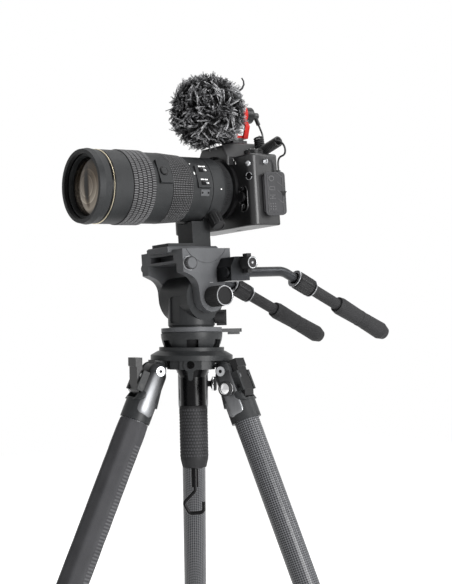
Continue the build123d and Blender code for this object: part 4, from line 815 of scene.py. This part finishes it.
# Each well is a thin black sheet: painted shade for the slot.
place("switch_wells", bm, "camera", gloss_lacquer, "black_gloss")
bm = bmesh.new()
for off in SWITCHES:
    block(bm, along(pad, 0.6, off, 3.0), (1.4, 3.0, 3.4), 0.4)
block(bm, along(turned(lens, PLATE_TURN, 39.7), z=2.2), (1.0, 8.0, 12.5), 0.35)
place("switch_sliders_and_plate", bm, "camera", powder_charcoal, "charcoal_paint")
bm = bmesh.new()
for z in (-2.2, 6.6):
    disc(bm, facing_out(along(turned(lens, PLATE_TURN, 40.2), z=z)), 1.2, 0.3, 0.1, 16)
place("switch_plate_screws", bm, "camera", gloss_lacquer, "black_gloss")
bm = bmesh.new()
for off in SWITCHES:
    for z, length in ((-2.0, 4.4), (3.6, 4.8)):
        block(bm, along(pad, 0.05, off - 4.6, z), (0.4, 1.3, length), 0.1, 1)
    block(bm, along(pad, 0.3, off, 6.0), (0.4, 2.2, 1.0), 0.1, 1)
    block(bm, along(pad, 1.3, off, 3.0), (0.2, 2.2, 0.6), 0.05, 1)
place("switch_dashes", bm, "camera", index_paint, "satin_metal")
bm = bmesh.new()
disc(bm, facing_out(along(turned(lens, 6.0, 39.3), z=26.5)), 0.8, 0.5, 0.15, 16)
place("collar_index_dot", bm, "plate", index_paint, "satin_metal")

# %% [markdown]
# Looking into the lens one sees the filter thread and then a dark stepped baffle that stops stray
# light. Both are one turned profile with a saw-tooth edge.

# %% Filter thread and baffle
THREADS, THREAD_PITCH = 5, 0.8
profile = [(38.45, -146.2)]
for n in range(THREADS):
    profile += [(37.9, -145.8 + THREAD_PITCH * n), (38.4, -145.4 + THREAD_PITCH * n)]
profile += [(38.4, -141.8), (34.6, -141.2), (34.6, -136.9)]
spun("filter_thread_and_baffle", profile, lens, 72, "camera", gloss_lacquer, "black_gloss")

# %% [markdown]
# The camera's front carries round buttons and a focus lever in an oval recess, which leaves room
# for the release button to be pressed. The recess's floor is a black sheet of painted shade, and
# thin satin lines on the lever are painted highlights. Each sits on the face that carries it, drawn
# in the camera's own frame.


# %% Camera front
def facing(u, v, z, turn=0.0):
    """A frame on the camera whose z points forwards, then turned about the upright."""
    return along(lens_level, u, v, z) @ rotated(turn, "Z") @ rotated(90.0, "X")


def oval(base, wide, tall, steps=12):
    """Points of an upright oval with round ends, in the x and y of base."""
    straight = tall - wide
    points = []
    for side in (1, -1):
        for n in range(steps + 1):
            turn = math.pi * n / steps + (0 if side > 0 else math.pi)
            spot = Vector((wide * math.cos(turn), side * straight + wide * math.sin(turn), 0))
            points.append(base @ (spot * MM))
    return points


BODY_FRONT = 55.0
RECESS_X, RECESS_Z = 46.0, -16.0
ROUND_BUTTON = ((0, 1.2), (3.0, 1.2), (3.4, 0.9), (3.4, 0.1), (4.0, 0.1), (4.0, -1.5))
UPPER_BUTTON = ((0, 1.7), (2.0, 1.6), (3.0, 1.2), (3.6, 0.4), (3.6, -1.5))
LEVER_HEAD = ((0, 2.2), (2.7, 2.1), (3.3, 1.4), (3.3, 0))
LEVER_HUB = ((0, 1.8), (3.1, 1.7), (4.1, 1.0), (4.1, 0))
ring_at = facing(59.0, BODY_FRONT + 0.2, 10.0, 13)
bm = bmesh.new()
lathe(bm, ROUND_BUTTON, ring_at, 32)
# The oval recess is a black gloss sheet of two discs and a block: painted shade for its depth.
for z in (-7.6, -24.4):
    disc(bm, facing(RECESS_X, BODY_FRONT, z), 7.2, 0.3, 0.1, 32)
block(bm, along(lens_level, RECESS_X, BODY_FRONT - 0.05, RECESS_Z), (14.4, 0.5, 17.0), 0.1)
place("camera_front_buttons", bm, "camera", gloss_lacquer, "black_gloss")
bm = bmesh.new()
rim = oval(facing(RECESS_X, BODY_FRONT - 0.1, RECESS_Z), 7.6, 16.0)
tube(bm, rim, 0.8, axis_of(lens_level, 1), 8, True)
place("focus_recess_rim", bm, "camera", abs_black, "black_plastic")
bm = bmesh.new()
lathe(bm, UPPER_BUTTON, facing(57.6, BODY_FRONT, 25.5, 6), 32)
for n in range(4):
    turns = [math.radians(90.0 * n + 12.0 + 6.0 * k) for k in range(12)]
    arc = [Vector((4.5 * math.cos(t), 4.5 * math.sin(t), 0.6)) * MM for t in turns]
    tube(bm, [ring_at @ spot for spot in arc], 0.45, axis_of(ring_at, 2), 8)
place("camera_button_rings", bm, "camera", satin_aluminium, "satin_metal")
bm = bmesh.new()
lathe(bm, LEVER_HEAD, facing(45.4, BODY_FRONT - 0.2, -3.8), 32)
lathe(bm, LEVER_HUB, facing(45.0, BODY_FRONT - 0.2, -24.8), 32)
block(bm, along(lens_level, 45.0, 52.4, -26.2) @ rotated(18.0, "Y"), (2.8, 3.0, 8.0), 0.8)
place("focus_mode_lever", bm, "camera", abs_smooth, "black_plastic")
bm = bmesh.new()
# Small satin blocks on the lever stand for its highlight lines: painted highlights.
for u, z in ((45.4, -2.6), (47.4, -23.4), (42.6, -26.8)):
    block(bm, along(lens_level, u, 52.7, z), (1.6, 0.4, 0.7), 0.1, 1)
place("focus_lever_marks", bm, "camera", satin_aluminium, "satin_metal")

# %% [markdown]
# Small marks and dots are thin bevelled blocks that stand a little proud, because a painted mark
# still catches light on its edge. The strap lugs are rings on square feet.

# %% Camera marks, strap lugs and dial
LUG_RING = (
    (2.4, 0.6), (3.0, 1.0), (3.6, 0.6), (3.6, -0.6), (3.0, -1.0), (2.4, -0.6), (2.4, 0.6)
)
dial_at = along(lens_level, 46.0, 75.0)
bm = bmesh.new()
for u, z, turn in ((31.0, 34.0, 20.0), (34.5, 29.0, 24.0)):
    block(bm, along(lens_level, u, BODY_FRONT, z) @ rotated(-turn, "Y"), (1.0, 0.6, 3.0), 0.1, 1)
for n in range(12):
    block(bm, turned(along(dial_at, z=44.9), 30.0 * n, 8.4), (2.2, 0.7, 0.4), 0.1, 1)
place("camera_marks", bm, "camera", index_paint, "satin_metal")
bm = bmesh.new()
round_blocks(bm, dial_at, 40, 11.5, 41.6, (0.8, 1.0, 4.6), 0.2)
place("mode_dial_knurl", bm, "mode_dial", abs_smooth, "black_plastic")
bm = bmesh.new()
for u, turn in ((64.4, 0.0), (-74.4, 180.0)):
    lug = along(lens_level, u, 76.0, 27.5) @ rotated(turn, "Z")
    lathe(bm, LUG_RING, along(lug, 2.6) @ rotated(90.0, "X"), 24)
    block(bm, lug, (1.6, 4.0, 4.0), 0.4)
place("strap_lugs", bm, "camera", satin_aluminium, "satin_metal")

# %% [markdown]
# The port cover is grey rubber with raised signs for its sockets. The signs here are plain shapes
# of no maker: a ring, a box, a slot and a grid. A small notch on the free edge helps a fingernail.

# %% Port cover relief
COVER_OPEN = math.radians(24.0)
COVER_FACE = 3.0
BARS = (
    (9.0, -4.0, 7.5, 1.2), (9.0, -8.0, 7.5, 1.2), (5.8, -6.0, 1.2, 5.0), (12.2, -6.0, 1.2, 5.0),
    (9.0, -14.5, 8.0, 1.2), (9.0, -18.5, 8.0, 1.2), (9.0, -16.5, 3.0, 1.4),
)
RIDGE = ((3.6, -36.0), (3.6, 11.0), (22.4, 11.0), (22.4, -36.0))
SOCKET_RING = ((2.4, -0.3), (2.4, 0.4), (3.0, 0.5), (3.6, 0.4), (3.6, -0.3))
cover = axes_frame(
    on_level(66.0, 72.0, 0.0),
    lens_level.to_3x3() @ Vector((math.sin(COVER_OPEN), math.cos(COVER_OPEN), 0)),
    lens_level.to_3x3() @ Vector((math.cos(COVER_OPEN), -math.sin(COVER_OPEN), 0)),
)
bm = bmesh.new()
lathe(bm, SOCKET_RING, along(cover, 8.5, 6.0, COVER_FACE + 0.2), 24)
for x, y, wide, tall in BARS:
    block(bm, along(cover, x, y, COVER_FACE), (wide, tall, 0.9), 0.25, 1)
for row in range(3):
    for line in range(3):
        dot = along(cover, 6.0 + 3.0 * line, -25.0 - 3.2 * row, COVER_FACE)
        block(bm, dot, (1.8, 1.8, 0.9), 0.25, 1)
for y in (10.0, -1.0, -11.4, -21.8):
    slash = along(cover, 19.0, y, COVER_FACE) @ rotated(-38.0, "Z")
    block(bm, slash, (9.0, 0.8, 0.7), 0.2, 1)
ridge = [cover @ (Vector((x, y, COVER_FACE + 0.1)) * MM) for x, y in RIDGE]
tube(bm, ridge, 0.5, axis_of(cover, 2), 8, True)
# The raised signs are painted paler than the cover: a painted highlight.
place("port_cover_relief", bm, "port_cover", worn_rubber, "grey_rubber")
# The notch is a black triangle: painted shade in it.
bm = bmesh.new()
disc(bm, along(cover, 23.4, -12.5, COVER_FACE) @ rotated(60.0, "Z"), 4.6, 0.7, 0.1, 3)
place("port_cover_notch", bm, "port_cover", deep_rubber, "black_rubber")

# %% [markdown]
# The rear and the top are not seen in the photograph, so they carry only what every camera of
# this kind has: a rubber eyecup, a column of plain buttons and a thumb pad.


# %% Camera rear
def facing_back(u, v, z):
    return along(lens_level, u, v, z) @ rotated(-90.0, "X")


EYECUP_BARS = (
    (0, 54.0, 38.0, 3.4), (0, 33.0, 38.0, 3.4), (-17.6, 43.5, 3.4, 24.0), (17.6, 43.5, 3.4, 24.0)
)
THUMB_PAD = ((0, 1.2), (4.0, 1.2), (4.4, 2.0), (9.0, 2.2), (10.0, 1.4), (10.0, -0.6))
BODY_REAR = 97.6
bm = bmesh.new()
for u, z, wide, tall in EYECUP_BARS:
    block(bm, along(lens_level, u, 111.0, z), (wide, 5.0, tall), 1.2, 3)
place("eyecup", bm, "camera", moulded_rubber, "black_rubber")
bm = bmesh.new()
for n in range(5):
    disc(bm, facing_back(53.0, BODY_REAR, 10.0 - 11.0 * n), 3.4, 1.8, 0.5, 24)
lathe(bm, THUMB_PAD, facing_back(-53.0, BODY_REAR + 0.2, 2.0), 40)
for n in range(2):
    disc(bm, facing_back(-46.0 - 15.0 * n, BODY_REAR, 27.0), 3.6, 1.8, 0.5, 24)
place("camera_rear_buttons", bm, "camera", abs_smooth, "black_plastic")

# %% [markdown]
# Knobs on the head are black mouldings whose ends have a thin satin ring and a sunken face. Rings
# and faces are turned on the knob's own axis, and the grip is a row of ribs round it.

# %% Tilt drag knob, plate lock and collar knob
DRAG_RING = ((10.9, 67.5), (11.0, 68.0), (11.4, 68.2), (11.8, 68.0), (12.1, 67.5), (11.9, 67.2))
DRAG_FACE = ((0, 67.0), (10.2, 67.0), (10.9, 67.6))
LOCK_RING = ((6.6, 43.2), (8.4, 43.2), (8.6, 43.5), (8.4, 43.9), (6.6, 43.9))
COLLAR_RIM = ((6.8, 59.6), (6.9, 60.2), (7.4, 60.4), (7.9, 60.1), (8.1, 59.5))
COLLAR_FACE = ((0, 59.2), (6.4, 59.2), (6.8, 59.6))
COLLAR_KNOB_TURN = math.radians(55.0)
across = deck @ rotated(90.0, "Y")
lock_at = along(deck, 0, -31.5, 40.5) @ rotated(90.0, "Y")
collar_knob = axes_frame(
    on_level(0, 23.5, 0),
    axis_of(lens_level, 1),
    lens_level.to_3x3() @ Vector((math.cos(COLLAR_KNOB_TURN), 0, -math.sin(COLLAR_KNOB_TURN))),
)
bm = bmesh.new()
round_blocks(bm, across, 30, 11.9, 53.5, (1.0, 1.3, 17.0), 0.3)
place("tilt_drag_ribs", bm, "tilt_drag", moulded_rubber, "black_rubber")
spun("tilt_drag_cap_ring", DRAG_RING, across, 48, "tilt_drag", satin_aluminium, "satin_metal")
# The sunken face is painted near black: painted shade.
spun("tilt_drag_face", DRAG_FACE, across, 40, "tilt_drag", deep_rubber, "black_gloss")
spun("plate_lock_rings", LOCK_RING, lock_at, 40, "cradle", satin_aluminium, "satin_metal")
bm = bmesh.new()
round_blocks(bm, lock_at, 22, 7.4, 46.8, (0.8, 1.1, 4.4), 0.25)
lathe(bm, [(0, 50.0), (6.0, 50.0), (6.6, 49.4), (6.6, 48.6)], lock_at, 32)
place("plate_lock_ribs", bm, "plate_lock", powder_charcoal, "charcoal_paint")
bm = bmesh.new()
round_blocks(bm, collar_knob, 16, 8.2, 51.0, (1.2, 1.6, 14.0), 0.4)
place("collar_knob_ribs", bm, "collar_knob", abs_smooth, "black_plastic")
spun("collar_knob_rim", COLLAR_RIM, collar_knob, 40, "collar_knob", satin_aluminium, "satin_metal")
spun("collar_knob_face", COLLAR_FACE, collar_knob, 40, "collar_knob", gloss_lacquer, "black_gloss")

# %% [markdown]
# Each pan handle is a dark anodised arm in a clamp, with a clamp knob, a twist collar between two
# satin rings and a rubber grip with shallow bands. Both handles are the same, so a loop makes them
# on each side.

# %% Handle trim
HANDLE_X, ARM_BEND, HANDLE_Z, ARM_DROP = 62.0, 97.0, 27.0, 26.6
BANDS, BAND_START, BAND_STEP = 7, 104.0, 12.4
KNOB_RING = ((5.9, 86.0), (6.0, 86.4), (6.5, 86.6), (7.0, 86.3), (7.3, 85.7))
for hand, side in (("near", 1), ("far", -1)):
    run = along(deck, side * HANDLE_X, ARM_BEND, HANDLE_Z) @ rotated(-90.0 - ARM_DROP, "X")
    bm = bmesh.new()
    for z in (21.0, 50.4):
        ring = [(7.6, z - 0.6), (11.0, z - 0.6), (11.4, z), (11.0, z + 0.6), (7.6, z + 0.6)]
        lathe(bm, ring, run, 40)
    place(hand + "_handle_rings", bm, hand + "_collar", satin_aluminium, "satin_metal")
    bm = bmesh.new()
    round_blocks(bm, run, 26, 11.0, 36.0, (0.9, 1.3, 22.0), 0.3)
    place(hand + "_collar_ribs", bm, hand + "_collar", moulded_rubber, "black_rubber")
    bm = bmesh.new()
    knob = along(deck, 0, 30.0, 37.0) @ rotated(90.0 * side, "Y")
    lathe(bm, KNOB_RING, knob, 32)
    lathe(bm, [(0, 86.3), (1.2, 86.3), (1.5, 86.0)], knob, 24)
    place(hand + "_clamp_knob_rings", bm, hand + "_knob", satin_aluminium, "satin_metal")
    bm = bmesh.new()
    for n in range(BANDS):
        z = BAND_START + BAND_STEP * n
        lathe(bm, [(9.0, z - 2.6), (10.6, z - 1.8), (10.6, z + 1.8), (9.0, z + 2.6)], run, 32)
    place(hand + "_grip_bands", bm, hand + "_grip", moulded_rubber, "black_rubber")

# %% [markdown]
# The column's grip is knurled rubber: rows of small diamonds. One block turned on its corner is
# set round the grip row by row, and each row is shifted by half a step.

# %% Column grip knurl and tilt mark
KNURL_ROWS, KNURL_COUNT, KNURL_TOP, KNURL_STEP = 15, 30, -93.0, 3.9
bm = bmesh.new()
for row in range(KNURL_ROWS):
    for n in range(KNURL_COUNT):
        bearing = 360.0 * (n + (row % 2) / 2) / KNURL_COUNT
        stud = along(turned(column, bearing, 16.7), z=KNURL_TOP - KNURL_STEP * row)
        block(bm, stud @ rotated(45.0, "X"), (0.9, 2.3, 2.3), 0.25, 1)
place("column_grip_knurl", bm, "column_grip", port_rubber, "black_rubber")
bm = bmesh.new()
block(bm, along(across, -17.0, 0, 43.2), (0.8, 5.0, 0.5), 0.1, 1)
place("tilt_index", bm, "cradle", satin_aluminium, "satin_metal")

# %% [markdown]
# The tripod's leg tops are black castings with a satin lobe on each side where the leg turns. A
# lobe is a capsule pressed flat: two half balls and a barrel, made by spinning one profile. It is
# thin enough that the latch swings past it.


# %% Yoke lobes, latch badges and collar ribs
def satin_fade(name, leg):
    """Satin metal that is dark at the pivot and bright at its lower end, as lit from below."""
    material, tree, shader, place = new_material(name)
    local = add(tree, "ShaderNodeSeparateXYZ", {"Vector": in_frame(tree, place, leg)}).outputs
    share = spread(tree, local["Z"], 0.0, 1.0, -4.0 * MM, 56.0 * MM)
    sockets = {
        "Base Color": ramp(tree, share, [(0.0, "121213"), (1.0, "6e6f71")]),
        "Roughness": spread(tree, speckle(tree, place, 0.4), 0.28, 0.42),
        "Metallic": 0.9,
    }
    feed(tree, shader, sockets)
    return material


LOBE_RADIUS, LOBE_TOP, LOBE_FOOT, LOBE_X, LOBE_FLAT = 11.0, 6.0, 48.0, 14.6, 0.4
KNOB_CAP = (
    (0, 31.6), (3.5, 31.2), (6.2, 30.2), (8.2, 28.4), (9.1, 26.0), (9.1, 24.4), (8.6, 23.9)
)
BADGE = ((0, 0.5), (2.4, 0.45), (3.0, 0.1), (3.0, -0.4))
turns = [math.radians(15 * n) for n in range(7)]
arc = [(LOBE_RADIUS * math.sin(t), -LOBE_RADIUS * math.cos(t)) for t in turns]
lobe = [(r, LOBE_TOP + z) for r, z in arc] + [(r, LOBE_FOOT - z) for r, z in reversed(arc)]
for name, leg in legs.items():
    bm = bmesh.new()
    for side in (-1, 1):
        shape = along(leg, side * LOBE_X, -1.0, 0) @ Matrix.Diagonal((LOBE_FLAT, 1, 1, 1))
        lathe(bm, lobe, leg, 32)
        fresh = [v for v in bm.verts if not v.tag]
        bmesh.ops.transform(bm, matrix=shape @ leg.inverted(), verts=fresh)
        for vert in bm.verts:
            vert.tag = True
    satin = satin_fade("satin_fade_" + name, leg)
    place(name + "_yoke_lobes", bm, name + "_leg", satin, "satin_metal")
    bm = bmesh.new()
    round_blocks(bm, leg, 32, 18.9, 576.0, (0.9, 1.8, 46.0), 0.35)
    place(name + "_collar_ribs", bm, name + "_collar", moulded_rubber, "black_rubber")
    low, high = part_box(name + "_leg_knob")
    knob_side = 1 if (leg.inverted() @ ((Vector(low) + Vector(high)) / 2)).x > 0 else -1
    knob = along(leg, 0, 2.5, 22.5) @ rotated(90.0 * knob_side, "Y")
    spun(name + "_knob_cap", KNOB_CAP, knob, 40, name + "_knob", polished_steel, "polished_steel")
    bm = bmesh.new()
    for side in (-1, 1):
        badge = along(leg, side * 10.3, 14.6, 12.0) @ rotated(90.0 * side, "Y")
        lathe(bm, BADGE, badge @ Matrix.Diagonal((1.5, 1.0, 1.0, 1.0)), 32)
    place(name + "_latch_badges", bm, name + "_latch", satin_aluminium, "satin_metal")
bm = bmesh.new()
for leg in legs.values():
    for side in (-1, 1):
        disc(bm, along(leg, side * 19.5) @ rotated(90.0 * side, "Y"), 3.5, 0.25, 0.05, 6)
# Each hex socket is a thin black disc: painted shade for the hole.
place("bolt_hex_sockets", bm, "shoulder", gloss_lacquer, "black_gloss")

# %% [markdown]
# A dark drum inside the levelling bowl stands for the works that one sees through its windows; it
# is painted shade, so the windows look dark.

# %% Inside of the bowl
BOWL_DRUM = ((32.6, -2.0), (31.6, -8.0), (30.0, -13.0), (27.4, -18.0), (24.8, -21.4))
spun("bowl_inner_drum", BOWL_DRUM, column, 48, "levelling", deep_rubber, "black_gloss")

# %% [markdown]
# One leg wears a foam sleeve to carry it by. It is moulded with eight flat sides, and foam is soft,
# so the sides get shallow dents and the ends draw in. A row of small ribs runs down one flat.

# %% Foam sleeve
FOAM_TOP, FOAM_FOOT = 64.4, 329.6
FOAM_FLAT = 17.2
FOAM_EASE = 10.0
FACET = math.radians(45.0)
FACET_START = math.radians(18.75)
RIBS, RIB_START, RIB_STEP, RIB_TURN = 56, 92.0, 4.1, -26.25
left = legs["left"]
to_left = left.inverted()
profile = [(15.3, FOAM_TOP), (17.6, FOAM_TOP), (18.5, 66.0)]
profile += [(18.5, 70.0 + 6.4 * n) for n in range(40)]
profile += [(18.5, 328.0), (17.4, FOAM_FOOT), (15.3, FOAM_FOOT)]
bm = bmesh.new()
lathe(bm, profile, left, 48)
for vert in bm.verts:
    spot = to_left @ vert.co
    ring = Vector((spot.x, spot.y, 0))
    if ring.length > 16.0 * MM:
        turn = (math.atan2(spot.y, spot.x) - FACET_START + FACET / 2) % FACET - FACET / 2
        flat = FOAM_FLAT / math.cos(turn) + 0.25 * noise.noise(spot * 60)
        height = spot.z / MM
        swell = min(1.0, (height - FOAM_TOP) / FOAM_EASE, (FOAM_FOOT - height) / FOAM_EASE)
        wall = ring.normalized() * (flat - 0.5 * (1 - swell)) * MM
        vert.co = left @ (wall + Vector((0, 0, spot.z)))
foam_sleeve = place("left_foam_sleeve", bm, "left_leg", closed_foam, "foam")
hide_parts("left_leg_foam")
bm = bmesh.new()
for n in range(RIBS):
    rib_at = along(turned(left, RIB_TURN, FOAM_FLAT), z=RIB_START + RIB_STEP * n)
    block(bm, rib_at, (1.5, 10.5, 2.3), 0.5, 1)
# The ribs are painted paler than the sleeve: a painted highlight.
place("foam_sleeve_ribs", bm, "left_leg", rubbed_foam, "foam")

# %% [markdown]
# The light is a plain studio: a large soft lamp from the right that the handles point to, one from
# above, a narrow strip behind and a weak one in front. The world is white to the camera and to
# mirrors, and only a soft grey to the object, so that the front faces stay dark as in the picture.


# %% Lights and background
def area_lamp(name, spot, goal, size, power):
    lamp = bpy.data.lights.new(name, "AREA")
    lamp.shape = "RECTANGLE"
    lamp.size, lamp.size_y = size
    lamp.energy = power
    turn = (Vector(goal) - Vector(spot)).to_track_quat("-Z", "Y")
    show(name, lamp).matrix_world = Matrix.Translation(spot) @ turn.to_matrix().to_4x4()


area_lamp("key_softbox", (2.3, 0.1, 0.78), (0, 0, 0.66), (1.2, 1.2), 80.0)
area_lamp("top_softbox", (0.1, 0.3, 2.5), (0, 0, 0.7), (1.4, 1.4), 22.0)
area_lamp("strip_softbox", (1.3, 1.5, 1.9), (0, 0, 0.75), (0.3, 1.6), 22.0)
area_lamp("front_softbox", (-1.0, -2.2, 1.2), (0, 0, 0.65), (1.0, 1.6), 3.0)

WORLD_LIGHT = 0.22
world = bpy.data.worlds.new("studio")
scene.world = world
world.use_nodes = True
sky = world.node_tree
sky.nodes.clear()
level = spread(sky, plain_sight(sky), WORLD_LIGHT, 1.0)
glow = add(sky, "ShaderNodeBackground", {"Color": rgb("ffffff"), "Strength": level})
add(sky, "ShaderNodeOutputWorld", {"Surface": glow.outputs["Background"]})
print("lamps:", len(bpy.data.lights))

# %% [markdown]
# The floor is a pale sheet of paper that keeps the object's shadow. The camera sees it as white as
# the background, so only the shadow tells where it lies.

# %% Floor
FLOOR_GLOW = 0.78
FLOOR_HALF = 4.0
paper, tree, shader, place_paper = new_material("pale_backdrop_paper")
tones = {"Factor": speckle(tree, place_paper, 4.0, 3.0), "A": rgb("f2f2f1"), "B": rgb("fafafa")}
sockets = {
    "Base Color": add(tree, "ShaderNodeMix", tones, data_type="RGBA").outputs["Result"],
    "Roughness": 0.9,
    "Emission Color": rgb("ffffff"),
    "Emission Strength": maths(tree, "MULTIPLY", plain_sight(tree), FLOOR_GLOW),
}
feed(tree, shader, sockets)
bm = bmesh.new()
bmesh.ops.create_grid(bm, x_segments=8, y_segments=8, size=FLOOR_HALF)
sheet = bpy.data.meshes.new("floor_paper")
bm.to_mesh(sheet)
bm.free()
sheet.materials.append(paper)
floor = show("floor_paper", sheet)
print("floor size in metres:", 2 * FLOOR_HALF)
